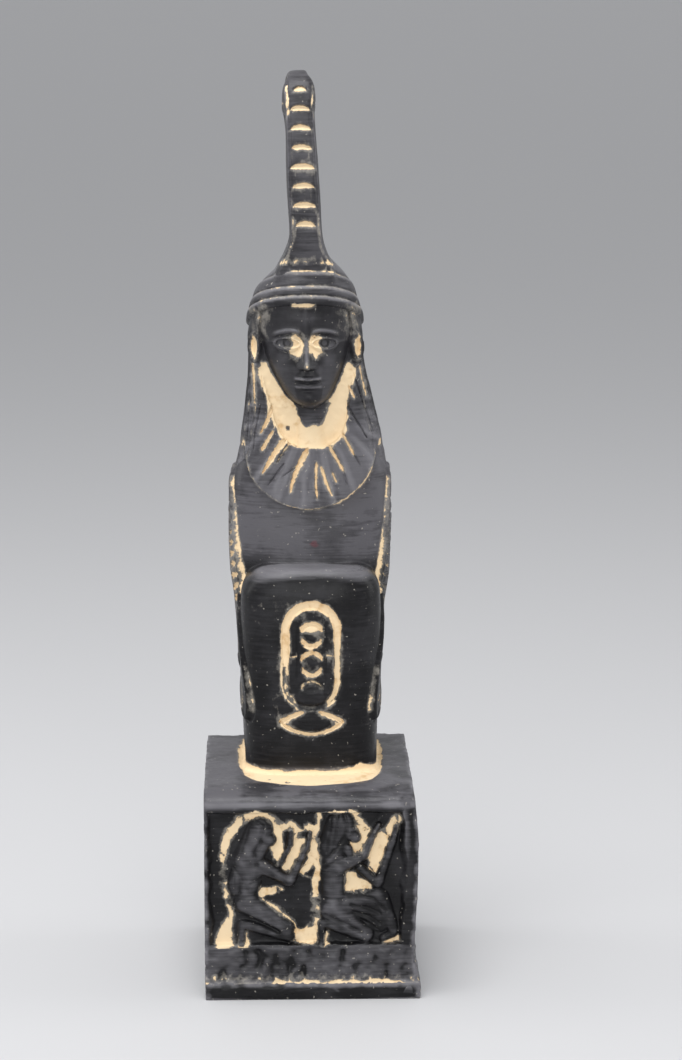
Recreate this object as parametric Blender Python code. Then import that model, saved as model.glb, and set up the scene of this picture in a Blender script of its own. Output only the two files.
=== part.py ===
# A kneeling winged goddess with a tall feather on her head, cast in one with its plinth.
# Metres, +Z up, origin under the middle of the plinth; the figure looks towards -Y.
import math

import bmesh
import bpy
from mathutils import Vector

# Plinth
PLINTH_WIDTH = 0.0615  # across the front, at the top
PLINTH_DEPTH = 0.0660  # front to back, at the top
PLINTH_HEIGHT = 0.0630
PLINTH_FLARE = 0.0004  # each side leans out by this much on its way down
LIP_HEIGHT = 0.0047
LIP_OVERHANG = 0.0006
FRONT_SLOPE_DEPTH = 0.0105  # the rounded band along the top of the front
FRONT_SLOPE_DROP = 0.0043
EDGE_ROUNDING = 0.0012

# Sunk fields and the band of strokes below them
BAND_HEIGHT = 0.0116  # from the lip up to the field
FIELD_SINK = 0.0014
FIELD_TOP_MARGIN = 0.0018
FIELD_SIDE_MARGIN = 0.0008
POST_WIDTH = 0.0041  # the upright at the right of the front field
SIDE_MARGIN = 0.0040  # border of the fields on the two sides
RELIEF_HEIGHT = 0.0013
STROKE_WIDTH = 0.0012
STROKE_DEPTH = 0.0007

# Figure
FIGURE_HEIGHT = 0.2060  # from the plinth's top to the feather's top
FIGURE_BACK_GAP = 0.0035  # from its back to the plinth's back edge
UNIT = FIGURE_HEIGHT / 206.0  # the figure's proportions below are in these
DRAWN_FIELD_HEIGHT = 0.0406  # the kneeling pairs' poses are drawn in millimetres for this field

# Half width, front and back of the body at heights above the plinth
TORSO = (
    (-3, 19.6, 0.0, 28.6),
    (12, 20.6, 0.0, 29.2),
    (28, 21.0, 0.0, 29.6),
    (46, 21.8, 0.2, 29.4),
    (56, 23.2, -0.2, 28.9),
    (66, 23.6, 0.0, 28.0),
    (72, 23.7, 0.4, 27.4),
    (78, 23.6, 1.1, 26.6),
    (86, 23.2, 2.3, 25.4),
    (91, 22.1, 3.1, 24.6),
    (95, 21.2, 3.9, 23.6),
    (98, 18.6, 5.2, 21.6),
)
KNEES = (
    (-3, 19.6, -12.4, 14.0),
    (10, 19.9, -12.6, 14.0),
    (30, 20.3, -12.6, 14.0),
    (45, 20.9, -12.4, 14.0),
    (54, 20.7, -11.9, 14.0),
)
KNEES_TOP = 61.0
KNEES_ROUNDING = (9.0, 7.2, 5.0)  # left, right and front
HAIR = (
    (76, 25.2, -1.5, 28.2),
    (82, 25.0, -0.9, 27.4),
    (88, 24.2, -0.2, 26.8),
    (94, 21.6, 0.5, 26.4),
    (99, 20.9, 0.7, 26.2),
    (105, 19.6, 0.0, 26.0),
    (111, 18.6, -1.0, 26.0),
    (117, 17.6, -2.1, 26.2),
    (123, 17.0, -3.1, 26.4),
    (129, 16.9, -3.9, 26.4),
    (135, 16.1, -4.6, 25.6),
    (138, 15.4, -4.7, 24.6),
    (141, 14.6, -4.2, 23.2),
    (144, 13.2, -2.9, 21.2),
    (147, 10.7, -1.2, 18.8),
    (150, 7.6, -0.9, 16.4),
    (153, 4.6, 0.2, 13.6),
)
# The feather's blade: centre, half width, front and back edge at heights above the plinth
BLADE = (
    (140, -1.0, 9.8, -0.4, 17.0),
    (146, -1.0, 9.6, -0.8, 16.6),
    (149.5, -1.0, 8.2, -1.2, 16.0),
    (152.5, -1.1, 6.6, -1.8, 14.9),
    (156.6, -1.0, 5.05, -2.4, 13.9),
    (160.7, -1.2, 4.7, -2.7, 13.6),
    (168.8, -1.65, 4.8, -3.1, 13.2),
    (176.9, -2.1, 4.7, -3.2, 12.8),
    (185.0, -2.45, 4.5, -3.0, 12.2),
    (189.0, -2.65, 4.35, -2.7, 11.9),
)
# The curl: half width at angles round its middle, from the front over the top to the drooping tip
CURL = (
    (-65, 3.4),
    (-30, 3.7),
    (0, 4.1),
    (40, 3.8),
    (80, 3.2),
    (100, 3.2),
    (115, 3.6),
    (130, 4.6),
    (150, 4.85),
    (170, 4.5),
    (190, 4.2),
)
CURL_MIDDLE = (9.0, 196.1)  # its Y and height
CURL_RADII = (10.6, 9.9)
CURL_HOOK = (12.6, 192.2)  # the nick under the drooping tip
CURL_CENTRE = (-2.8, -3.6)  # the curl's own X at its front and at its top
TORSO_POWER = 2.6
KNEES_POWER = 3.2
HEAD_POWER = 2.25
BIB = (96.0, 19.8, 18.4)  # centre height and half axes of the hair's rounded hem
CHIN = 109.5
BROW = 139.0
SWAY = ((84, 0.0), (93, 0.45), (103, 0.25), (112, -0.35), (121, -1.0), (130, -1.3), (141, -1.3), (150, 0.0))
EAR_HEIGHT = 124.9
BAND_SLOPE = -0.42  # the head bands run down towards the back
BAND_LINES = ((BROW, 0.0, 0.95), (141.4, 0.95, 0.6), (143.9, 0.6, 0.25), (147.0, 0.25, 0.0))
WING_RISE = 0.8
FEATHER_NOTCHES = 8
WING_BARS = 10
WING_FEATHERS = 6
HAIR_STROKES = 13
BACK_LOCKS = 9
RING_POINTS = 32
FORM_FACES_KEPT = 0.55  # share of the triangles left before the fine cuts are made
FACES_KEPT = 0.80  # and after them


def place(x, y, z):
    # A point of the figure, given in its own units above the plinth's top; the head sways off the middle.
    behind = PLINTH_DEPTH / 2 - FIGURE_BACK_GAP - TORSO[2][3] * UNIT
    return Vector(((x + smooth_row(SWAY, z)[0]) * UNIT, y * UNIT + behind, z * UNIT + PLINTH_HEIGHT))


def smooth_row(table, z):
    # The table's row at height z, on a smooth curve through its rows.
    if z <= table[0][0]:
        return table[0][1:]
    if z >= table[-1][0]:
        return table[-1][1:]
    index = max(i for i, row in enumerate(table) if row[0] <= z)
    low, high = table[index], table[index + 1]
    before = table[max(index - 1, 0)]
    after = table[min(index + 2, len(table) - 1)]
    step = high[0] - low[0]
    t = (z - low[0]) / step
    values = []
    for column in range(1, len(low)):
        slope_low = (high[column] - before[column]) / (high[0] - before[0]) * step
        slope_high = (after[column] - low[column]) / (after[0] - low[0]) * step
        rise = low[column] * (2 * t**3 - 3 * t**2 + 1) + high[column] * (3 * t**2 - 2 * t**3)
        values.append(rise + slope_low * (t**3 - 2 * t**2 + t) + slope_high * (t**3 - t**2))
    return tuple(values)


def signed_power(value, power):
    return math.copysign(abs(value) ** power, value)


def torso_shape(z):
    return (*smooth_row(TORSO, z), TORSO_POWER)


def knees_shape(z):
    return (*smooth_row(KNEES, z), KNEES_POWER)


def hair_shape(z):
    blend = min(max((z - BIB[0] + 6) / 14, 0), 1)
    return (*smooth_row(HAIR, z), TORSO_POWER + (HEAD_POWER - TORSO_POWER) * blend)


def on_shape(shape, z, angle, grow=0.0):
    # The point of a form's section at this angle; angle 0 is its front.
    half, front, back, power = shape(z)
    x = (half + grow) * signed_power(math.sin(angle), 2 / power)
    deep = (back - front) / 2 + grow
    return x, (front + back) / 2 - deep * signed_power(math.cos(angle), 2 / power)


def depth_at(shape, x, z, way):
    # The form's own Y at x, on its front (-1) or its back (+1).
    half, front, back, power = shape(z)
    share = max(1 - min(abs(x) / half, 1) ** power, 0) ** (1 / power)
    return (front + back) / 2 + way * (back - front) / 2 * share


def width_at(shape, y, z):
    half, front, back, power = shape(z)
    share = abs(y - (front + back) / 2) / ((back - front) / 2)
    return half * max(1 - min(share, 1) ** power, 0) ** (1 / power)


def collection(name):
    made = bpy.data.collections.new(name)
    bpy.context.scene.collection.children.link(made)
    return made


def closed_object(name, verts, faces, group):
    # Triangles, with every face pointing out.
    mesh = bpy.data.meshes.new(name)
    mesh.from_pydata([tuple(v) for v in verts], [], faces)
    work = bmesh.new()
    work.from_mesh(mesh)
    bmesh.ops.triangulate(work, faces=work.faces[:])
    bmesh.ops.recalc_face_normals(work, faces=work.faces[:])
    work.to_mesh(mesh)
    work.free()
    made = bpy.data.objects.new(name, mesh)
    made.hide_render = True
    made.display_type = "WIRE"
    group.objects.link(made)
    return made


def ring_solid(name, rings, group, around=False):
    # A skin over rings of equal count, closed at both ends or all the way round.
    count = len(rings[0])
    verts = [point for ring in rings for point in ring]
    steps = len(rings) if around else len(rings) - 1
    faces = []
    for i in range(steps):
        low, high = i * count, (i + 1) % len(rings) * count
        for j in range(count):
            k = (j + 1) % count
            faces.append((low + j, low + k, high + k, high + j))
    if not around:
        faces.append(tuple(range(count)))
        faces.append(tuple(reversed(range(len(verts) - count, len(verts)))))
    return closed_object(name, verts, faces, group)


def prism(name, outline, near, far, group):
    # Two copies of an outline, moved apart by the functions near and far.
    return ring_solid(name, [[near(*p) for p in outline], [far(*p) for p in outline]], group)


def groove(name, points, outward, width, depth, group, closed=False):
    # A V-shaped cutter laid along points on a surface, fading out at open ends.
    rise = 0.0006
    rings = []
    last = len(points) - 1
    for i, point in enumerate(points):
        ahead = points[(i + 1) % len(points)] if closed else points[min(i + 1, last)]
        behind = points[i - 1] if closed else points[max(i - 1, 0)]
        across = outward.cross(ahead - behind).normalized()
        ends = 1.0 if closed else 0.35 + 0.65 * min(1.0, 3.0 * min(i, last - i) / last)
        side = across * (width * ends / 2 * (depth + rise) / depth)
        rings.append([point + outward * rise + side, point - outward * depth * ends,
                      point + outward * rise - side])
    return ring_solid(name, rings, group, around=closed)


def boolean(target, operation, group):
    modifier = target.modifiers.new(operation.title() + " " + group.name, "BOOLEAN")
    modifier.operation = operation
    modifier.operand_type = "COLLECTION"
    modifier.collection = group
    modifier.solver = "EXACT"


def thin_out(target, share):
    modifier = target.modifiers.new("Thin out", "DECIMATE")
    modifier.decimate_type = "COLLAPSE"
    modifier.ratio = share


def plinth_ring(grow, z, front_back=0.0):
    # Rounded rectangle; front_back moves its front edge backwards.
    half_x = PLINTH_WIDTH / 2 + grow
    half_y = PLINTH_DEPTH / 2 + grow
    ring = []
    for quarter, (sx, sy) in enumerate(((1, 1), (-1, 1), (-1, -1), (1, -1))):
        for step in range(3):
            angle = math.pi / 2 * (quarter + step / 2)
            edge_y = half_y - front_back if sy < 0 else half_y
            x = sx * (half_x - EDGE_ROUNDING) + EDGE_ROUNDING * math.cos(angle)
            y = sy * (edge_y - EDGE_ROUNDING) + EDGE_ROUNDING * math.sin(angle)
            ring.append(Vector((x, y, z)))
    return ring


def plinth():
    # Lip, leaning walls and a top whose front edge is rounded off in a broad slope.
    wall_top = PLINTH_HEIGHT - FRONT_SLOPE_DROP
    rings = [
        plinth_ring(PLINTH_FLARE + LIP_OVERHANG, 0),
        plinth_ring(PLINTH_FLARE + LIP_OVERHANG, LIP_HEIGHT),
        plinth_ring(PLINTH_FLARE, LIP_HEIGHT + 0.0001),
        plinth_ring(0, wall_top),
    ]
    for share in (0.1, 0.3, 0.6, 1.0):
        rise = FRONT_SLOPE_DROP * math.sin(share * math.pi / 2)
        rings.append(plinth_ring(-EDGE_ROUNDING * share * 0.5, wall_top + rise, FRONT_SLOPE_DEPTH * share))
    work = bpy.data.collections.new("plinth start")
    made = ring_solid("maat_statue", rings, work)
    made.hide_render = False
    made.display_type = "TEXTURED"
    bpy.context.scene.collection.objects.link(made)
    return made


def loft(name, shape, heights, count, group):
    rings = []
    for z in heights:
        ring = []
        for i in range(count):
            x, y = on_shape(shape, z, 2 * math.pi * i / count)
            ring.append(place(x, y, z))
        rings.append(ring)
    return ring_solid(name, rings, group)


def torso(group, name="torso", grow=0.0):
    heights = [-3, 14, 32, 46, 56, 65, 74, 82, 88, 93, 97.8]

    def shape(z):
        half, front, back, power = torso_shape(z)
        return half + grow, front - grow, back + grow, power

    return loft(name, shape, heights, RING_POINTS, group)


def knees(group, name="knees", grow=0.0):
    # Upright slab with a bowed face; its top is rounded over, more gently on its left.
    rings = []
    straight = [-3, 14, 30, 44, KNEES_TOP - KNEES_ROUNDING[0]]
    levels = [(z, 0.0) for z in straight]
    levels += [(None, angle) for angle in (18, 36, 54, 72, 86)]
    for z, degrees in levels:
        ring = []
        turn = math.radians(degrees)
        drop = 1 - math.sin(turn)
        for i in range(RING_POINTS):
            angle = 2 * math.pi * i / RING_POINTS
            left = math.sin(angle) < 0
            radius = KNEES_ROUNDING[0] if left else KNEES_ROUNDING[1]
            level = z if z is not None else KNEES_TOP - KNEES_ROUNDING[0] * drop
            half, front, back, power = knees_shape(level)
            inward = (1 - math.cos(turn)) * radius
            ahead = (1 - math.cos(turn)) * KNEES_ROUNDING[2]
            middle = (front + ahead + back) / 2
            x = (half + grow - inward) * signed_power(math.sin(angle), 2 / power)
            deep = (back - front - ahead) / 2 + grow
            y = middle - deep * signed_power(math.cos(angle), 2 / power)
            ring.append(place(x, y, level + grow * (degrees > 0)))
        rings.append(ring)
    return ring_solid(name, rings, group)


def hair(group):
    # Wig: a falling mass with a rounded hem, and head bands stepped one over the other.
    levels = [(76, 0, 0), (80, 0, 0), (84, 0, 0), (88, 0, 0), (91, 0, 0), (94, 0, 0), (97, 0, 0), (101, 0, 0),
              (106, 0, 0), (112, 0, 0), (118, 0, 0), (124, -0.12, 0), (130, -0.24, 0), (135, -0.34, 0)]
    for front_z, below, above in BAND_LINES:
        levels.append((front_z - 0.12, BAND_SLOPE, below))
        levels.append((front_z + 0.12, BAND_SLOPE, above))
    rings = []
    for front_z, slope, grow in levels:
        ring = []
        start = on_shape(hair_shape, front_z, 0, grow)[1]
        for i in range(RING_POINTS):
            angle = 2 * math.pi * i / RING_POINTS
            z = front_z
            for _ in range(8):
                x, y = on_shape(hair_shape, z, angle, grow)
                z = front_z + slope * (y - start)
            ring.append(place(x, y, z))
        rings.append(ring)
    for z in (150, 152.6):
        crown = [on_shape(hair_shape, z, 2 * math.pi * i / RING_POINTS) for i in range(RING_POINTS)]
        rings.append([place(x, y, z) for x, y in crown])
    made = ring_solid("hair", rings, group)
    hem = collection("hair hem")
    outline = [(30, BIB[0]), (30, 160), (-30, 160), (-30, BIB[0])]
    for i in range(24):
        angle = math.pi * (i + 0.5) / 24
        outline.append((-BIB[1] * math.cos(angle), BIB[0] - 0.01 - BIB[2] * math.sin(angle)))
    prism("hem outline", outline, lambda x, z: place(x, -20, z), lambda x, z: place(x, 45, z), hem)
    boolean(made, "INTERSECT", hem)
    return made


def wing_outline():
    # Side view of the folded wing: shoulder, leading edge, tip by the shins, trailing edge.
    leading = ((12.5, 89.5), (9.8, 84), (8.6, 76), (7.6, 67), (6.6, 58), (4.0, 51), (-1.0, 44), (-5.2, 36))
    tip = ((-8.0, 27), (-9.0, 20), (-8.6, 15.5), (-6.2, 14.5))
    trailing = ((-0.5, 20), (8, 26), (16, 33), (22, 42), (25, 54), (25, 66), (22, 78), (17, 87))
    return leading + tip + trailing


def wings(group):
    # The body's own sides, raised a little inside the wing's outline.
    for side in (-1, 1):
        made = torso(group, f"wing {side}", WING_RISE)
        lower = collection(f"wing lower {side}")
        knees(lower, f"wing on knees {side}", WING_RISE)
        boolean(made, "UNION", lower)
        shape = collection(f"wing outline {side}")
        prism(f"wing prism {side}", wing_outline(), lambda y, z: place(10 * side, y, z),
              lambda y, z: place(40 * side, y, z), shape)
        boolean(made, "INTERSECT", shape)


def curl_stretch(degrees):
    # Outer and inner edge of the curl at this angle round its middle.
    angle = math.radians(degrees)
    outer = [CURL_MIDDLE[i] + CURL_RADII[i] * (math.cos(angle), math.sin(angle))[i] for i in range(2)]
    inner = (CURL_HOOK[0] + 0.7 * math.cos(angle), CURL_HOOK[1] + 0.7 * math.sin(angle))
    return outer, inner


def feather(group):
    # A blade lofted along its own length, up its back and front edges and round the curl to the tip.
    stations = []
    for row in BLADE:
        stations.append((row[1], row[2], (row[3], row[0]), (row[4], row[0])))
    for degrees in (190, 172, 154, 136, 118, 100, 82, 60, 36, 12, -14, -42, -65):
        outer, inner = curl_stretch(degrees)
        share = min((190 - degrees) / 100, 1)
        centre = CURL_CENTRE[0] + (CURL_CENTRE[1] - CURL_CENTRE[0]) * share
        stations.append((centre, smooth_row(CURL, degrees)[0], outer, inner))
    rings = []
    for centre, half, outer, inner in stations:
        ring = []
        for i in range(12):
            angle = 2 * math.pi * i / 12
            side = signed_power(math.sin(angle), 0.4)
            run = signed_power(math.cos(angle), 0.4)
            y = (outer[0] + inner[0]) / 2 + run * (outer[0] - inner[0]) / 2
            z = (outer[1] + inner[1]) / 2 + run * (outer[1] - inner[1]) / 2
            ring.append(place(centre + half * side, y, z))
        rings.append(ring)
    return ring_solid("feather", rings, group)


def blade_at(z):
    # The blade's centre, half width and front edge, carried on into the curl's front.
    if z <= BLADE[-1][0]:
        return smooth_row(BLADE, z)[:3]
    start = CURL_MIDDLE[1] + CURL_RADII[1] * math.sin(math.radians(CURL[-1][0]))
    rise = (max(z, start) - CURL_MIDDLE[1]) / CURL_RADII[1]
    front = CURL_MIDDLE[0] - CURL_RADII[0] * math.sqrt(1 - rise**2)
    share = min((z - BLADE[-1][0]) / (start - BLADE[-1][0]), 1)
    return CURL_CENTRE[0], CURL[-1][1], BLADE[-1][3] + (front - BLADE[-1][3]) * share


def face_half(t):
    # Half width of the face from the chin (0) to the head band (1).
    jaw = ((-0.04, 3.0), (0.0, 4.6), (0.06, 6.4), (0.15, 8.3), (0.3, 10.5))
    temples = ((0.5, 12.2), (0.7, 13.1), (1.1, 12.8))
    return smooth_row(jaw + temples, t)[0]


def bump(value, centre, spread):
    return math.exp(-((value - centre) / spread) ** 2)


def face_relief(x, t):
    # How far the features stand out from the plain oval, by the rule of thirds.
    side = abs(x)
    nose_run = min(max((0.66 - t) / 0.30, 0), 1)
    nose_width = 1.0 + 1.3 * nose_run
    nose = (0.4 + 2.6 * nose_run) * bump(side, 0, nose_width) * (1 if t > 0.345 else bump(t, 0.345, 0.022))
    socket = -1.3 * bump(side, 4.9, 2.8) * bump(t, 0.60, 0.065)
    eye = 1.15 * bump(side, 5.6, 2.3) * bump(t, 0.595, 0.040)
    brow = 0.45 * bump(side, 5.8, 4.2) * bump(t, 0.695 - 0.0012 * (side - 5) ** 2, 0.026)
    lip_fade = bump(side, 0, 3.3)
    lips = 1.0 * lip_fade * (bump(t, 0.245, 0.026) + bump(t, 0.185, 0.026))
    mouth = -0.45 * bump(side, 0, 3.6) * bump(t, 0.216, 0.012)
    chin = 0.9 * bump(side, 0, 3.2) * bump(t, 0.06, 0.06)
    cheek = 0.35 * bump(side, 6.8, 2.6) * bump(t, 0.42, 0.11)
    return nose + socket + eye + brow + lips + mouth + chin + cheek


def face_depth(x, t):
    # How far forward the face's surface is at x, with its features.
    lower_line = ((-0.04, -1.0), (0.0, -2.6), (0.08, -3.4), (0.3, -3.9))
    upper_line = ((0.6, -4.2), (0.85, -4.4), (1.1, -4.0))
    side_depth = 7.0
    turn = math.sqrt(max(1 - (x / face_half(t)) ** 2, 0))
    oval_depth = side_depth - (side_depth - smooth_row(lower_line + upper_line, t)[0]) * turn**0.86
    return oval_depth - face_relief(x, t) * turn


def face(group):
    # Front half of an oval head; its back is buried in the hair.
    tall = BROW - CHIN
    rows, across = 25, 20
    rings = []
    for i in range(rows + 1):
        t = -0.035 + 1.10 * i / rows
        half = face_half(t)
        ring = []
        for j in range(across + 1):
            x = half * math.sin(math.pi * (j / across - 0.5))
            ring.append(place(x, face_depth(x, t), CHIN + tall * t))
        ring.append(place(half * 0.8, 12, CHIN + tall * t))
        ring.append(place(-half * 0.8, 12, CHIN + tall * t))
        rings.append(ring)
    return ring_solid("face", rings, group)


def ball(name, centre, radii, group, tilt=0.0, rows=6, count=12):
    # An ellipsoid in figure units, leaned sideways by tilt.
    rings = []
    for i in range(rows + 1):
        high = math.pi * (0.06 + 0.88 * i / rows) - math.pi / 2
        ring = []
        for j in range(count):
            angle = 2 * math.pi * j / count
            x = radii[0] * math.cos(high) * math.cos(angle)
            y = radii[1] * math.cos(high) * math.sin(angle)
            z = radii[2] * math.sin(high)
            ring.append(place(centre[0] + x + tilt * z, centre[1] + y, centre[2] + z))
        rings.append(ring)
    return ring_solid(name, rings, group)


def neck(group):
    rings = []
    for z, radius in ((90, 6.8), (97, 5.9), (104, 5.3), (112, 5.4), (118, 5.8)):
        rings.append([place(radius * math.cos(math.pi * j / 8), 6.8 + radius * math.sin(math.pi * j / 8), z)
                      for j in range(16)])
    return ring_solid("neck", rings, group)


def eyes(group, cuts):
    # Almond eyes at the height that the rule of thirds gives, each in a cut rim.
    share = 0.60
    middle = CHIN + share * (BROW - CHIN)
    for side in (-1, 1):
        depth = face_depth(5.5, share) + 0.35
        ball(f"eye {side}", (side * 5.5, depth, middle), (2.3, 0.9, 1.05), group, 0.0, 4, 10)
        rim = []
        for i in range(12):
            angle = 2 * math.pi * i / 12
            x = 5.6 + 3.2 * math.cos(angle)
            t = share + 1.65 * math.sin(angle) / (BROW - CHIN)
            rim.append(place(side * x, face_depth(x, t), CHIN + t * (BROW - CHIN)))
        groove(f"eye rim {side}", rim, Vector((0, -1, 0)), 0.7 * UNIT, 0.7 * UNIT, cuts, closed=True)


def ears(group, hollows):
    for side in (-1, 1):
        ball(f"ear {side}", (side * 15.5, 3.6, EAR_HEIGHT), (2.0, 3.6, 5.2), group, side * 0.10)
        hollow = (side * 15.8, 0.2, EAR_HEIGHT + 0.6)
        ball(f"ear hollow {side}", hollow, (1.0, 1.5, 3.3), hollows, side * 0.10, 4, 8)


def face_opening(group):
    # Opening in the hair: an arch under the head band, closing to a round trench at the throat.
    right = [(0, BROW - 0.1), (4.5, BROW - 0.5), (9, BROW - 1.9), (12.5, BROW - 4.0), (14.6, BROW - 6.8),
             (15.3, 126), (15.0, 119.5), (13.7, 114), (12.2, 108.5), (11.2, 103.5), (9.8, 99.6), (7.2, 96.4),
             (3.8, 94.8), (0, 94.3)]
    outline = right + [(-x, z) for x, z in reversed(right[1:-1])]
    prism("face opening", outline, lambda x, z: place(x, -20, z),
          lambda x, z: place(x * 0.96, 3.8 - 0.05 * (z - 94), z), group)


def hair_strokes(group):
    # A fan of cuts in the bib, spreading from the throat, with locks down the back.
    outward = Vector((0, -1, 0))
    for i in range(HAIR_STROKES):
        share = (i + 0.5) / HAIR_STROKES * 2 - 1
        angle = share * math.radians(64)
        start = 18.4 - 5.0 * max(0, abs(share) - 0.6) / 0.4
        length = 9.5 + 2.0 * math.sin(2.4 * i) - 2.0 * abs(share)
        points = []
        for step in range(3):
            reach = start + length * step / 2
            x = reach * math.sin(angle)
            z = CHIN + 2.5 - reach * math.cos(angle)
            points.append(place(x, depth_at(hair_shape, x, z, -1), z))
        groove(f"bib stroke {i}", points, outward, 1.5 * UNIT, 1.0 * UNIT, group)
    for i in range(BACK_LOCKS):
        share = (i + 0.5) / BACK_LOCKS * 2 - 1
        bottom = BIB[0] - BIB[2] * math.sqrt(1 - (0.9 * share) ** 2) * 0.9
        points = []
        for step in range(4):
            z = 121 + (bottom - 121) * step / 3
            x = share * (11.5 + 6.5 * step / 3)
            points.append(place(x, depth_at(hair_shape, x, z, 1), z))
        groove(f"back lock {i}", points, Vector((0, 1, 0)), 1.2 * UNIT, 0.8 * UNIT, group)
    for side in (-1, 1):
        for i in range(3):
            points = []
            for step in range(3):
                z = 119 - 18 * step / 2
                y = 6.0 + 5.2 * i
                points.append(place(side * width_at(hair_shape, y, z), y, z))
            groove(f"side lock {side} {i}", points, Vector((side, 0, 0)), 1.1 * UNIT, 0.7 * UNIT, group)


def wing_surface(side, y, z):
    # The outer of the torso's and the knees' sides, with the wing's rise.
    widest = max(width_at(torso_shape, y, z), width_at(knees_shape, y, z) if z < KNEES_TOP - 6 else 0)
    return place(side * (widest + WING_RISE), y, z)


def wing_strokes(group):
    for side in (-1, 1):
        outward = Vector((side, 0, 0))
        for i in range(WING_BARS):
            z = 80 - 3.25 * i
            start = 8.9 - 2.4 * i / WING_BARS
            points = [wing_surface(side, start + 4.2 * step / 2, z - 0.5 * step) for step in range(3)]
            groove(f"wing bar {side} {i}", points, outward, 1.3 * UNIT, 0.9 * UNIT, group)
        rail = []
        for step in range(4):
            share = step / 3
            rail.append(wing_surface(side, 14.6 - 3.4 * share, 85 - 36 * share))
        groove(f"wing rail {side}", rail, outward, 1.1 * UNIT, 0.8 * UNIT, group)
        for i in range(WING_FEATHERS):
            share = i / (WING_FEATHERS - 1)
            top_y, top_z = 9.0 + 12.5 * share, 46 + 31 * share
            tip_y, tip_z = -6.3 + 24.3 * share, 20.5 + 19 * share**1.4
            points = []
            for step in range(4):
                run = step / 3
                belly = 4.0 * math.sin(math.pi * run)
                y = top_y + (tip_y - top_y) * run + belly * 0.5
                points.append(wing_surface(side, y, top_z + (tip_z - top_z) * run))
            groove(f"wing feather {side} {i}", points, outward, 1.2 * UNIT, 0.8 * UNIT, group)


def feather_strokes(group):
    # Lens-shaped notches up the front edge, a quill line and slanting barbs on both sides.
    for i in range(FEATHER_NOTCHES):
        z = 162.3 + 5.56 * i
        half = 3.5 - 1.0 * (i == FEATHER_NOTCHES - 1)
        middle, _, front = blade_at(z)
        outline = [(middle + half * math.cos(a), z - 1.0 + 2.0 * math.sin(a))
                   for a in (math.pi * k / 6 for k in range(7))]
        prism(f"notch {i}", outline, lambda x, h: place(x, front - 2, h),
              lambda x, h: place(middle + (x - middle) * 0.85, front + 0.9, h), group)
    for side in (-1, 1):
        outward = Vector((side, 0, 0))

        def flank(y, z):
            middle, half, _ = blade_at(z)
            return place(middle + side * half, y, z)

        quill = [flank(3.4 + 0.1 * step, 157 + 4.4 * step) for step in range(8)]
        groove(f"quill {side}", quill, outward, 0.9 * UNIT, 0.6 * UNIT, group)
        for i in range(7):
            z = 159 + 4.2 * i
            points = [flank(4.6, z), flank(7.6, z + 2.2), flank(10.6, z + 3.2)]
            groove(f"barb {side} {i}", points, outward, 0.9 * UNIT, 0.6 * UNIT, group)


def knee_point(x, z):
    return place(x, depth_at(knees_shape, x, z, -1), z)


def oval(half, low, high, count):
    # A stadium standing upright.
    points = []
    radius = half
    for i in range(count):
        angle = 2 * math.pi * i / count
        middle = high - radius if math.sin(angle) >= 0 else low + radius
        points.append((radius * math.cos(angle), middle + radius * math.sin(angle)))
    return points


def knee_strokes(loops, marks):
    # Upright oval frame with rows of plain marks in it, and a lens below.
    outward = Vector((0, -1, 0))
    groove("oval frame", [knee_point(x, z) for x, z in oval(8.2, 19.6, 51.2, 20)], outward,
           2.0 * UNIT, 0.9 * UNIT, loops, closed=True)
    groove("oval inner line", [knee_point(x, z) for x, z in oval(4.7, 23.6, 47.0, 16)], outward,
           1.0 * UNIT, 0.7 * UNIT, loops, closed=True)
    for i in range(5):
        z = 27.2 + 4.0 * i
        reach = 2.4 - 0.5 * (i % 2)
        lift = 0.9 * (-1) ** i
        points = [knee_point(-reach, z), knee_point(0, z + lift), knee_point(reach, z)]
        groove(f"oval mark {i}", points, outward, 1.3 * UNIT, 0.8 * UNIT, marks)
    lens = []
    for i in range(8):
        share = i / 8
        lens.append((9.2 * (1 - 2 * share), 15.6 - 3.2 * math.sin(math.pi * share)))
    for i in range(8):
        share = i / 8
        lens.append((9.2 * (2 * share - 1), 15.6 + 1.6 * math.sin(math.pi * share)))
    groove("lens line", [knee_point(x, z) for x, z in lens], outward,
           1.0 * UNIT, 0.7 * UNIT, loops, closed=True)


def kneeling_both():
    # Joints in millimetres from the field's lower left corner, facing right, as (from, to, radii, height).
    return (
        ((14.2, 35.4), (9.8, 24.4), (4.0, 3.7), 0.75),
        ((16.3, 32.2), (17.2, 31.6), (2.8, 2.4), 0.95),
        ((11.0, 23.0), (11.0, 15.6), (4.1, 3.2), 0.85),
        ((15.6, 23.4), (23.0, 19.2), (2.6, 1.8), 1.0),
        ((23.0, 19.2), (29.0, 33.2), (1.7, 1.1), 0.9),
        ((20.4, 24.4), (23.8, 34.6), (1.1, 1.2), 0.7),
        ((10.6, 11.8), (22.6, 4.4), (3.7, 2.4), 0.95),
        ((22.4, 2.6), (9.6, 6.4), (1.9, 1.6), 0.7),
        ((8.8, 6.2), (8.8, 1.0), (1.4, 1.3), 0.6),
    )


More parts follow.
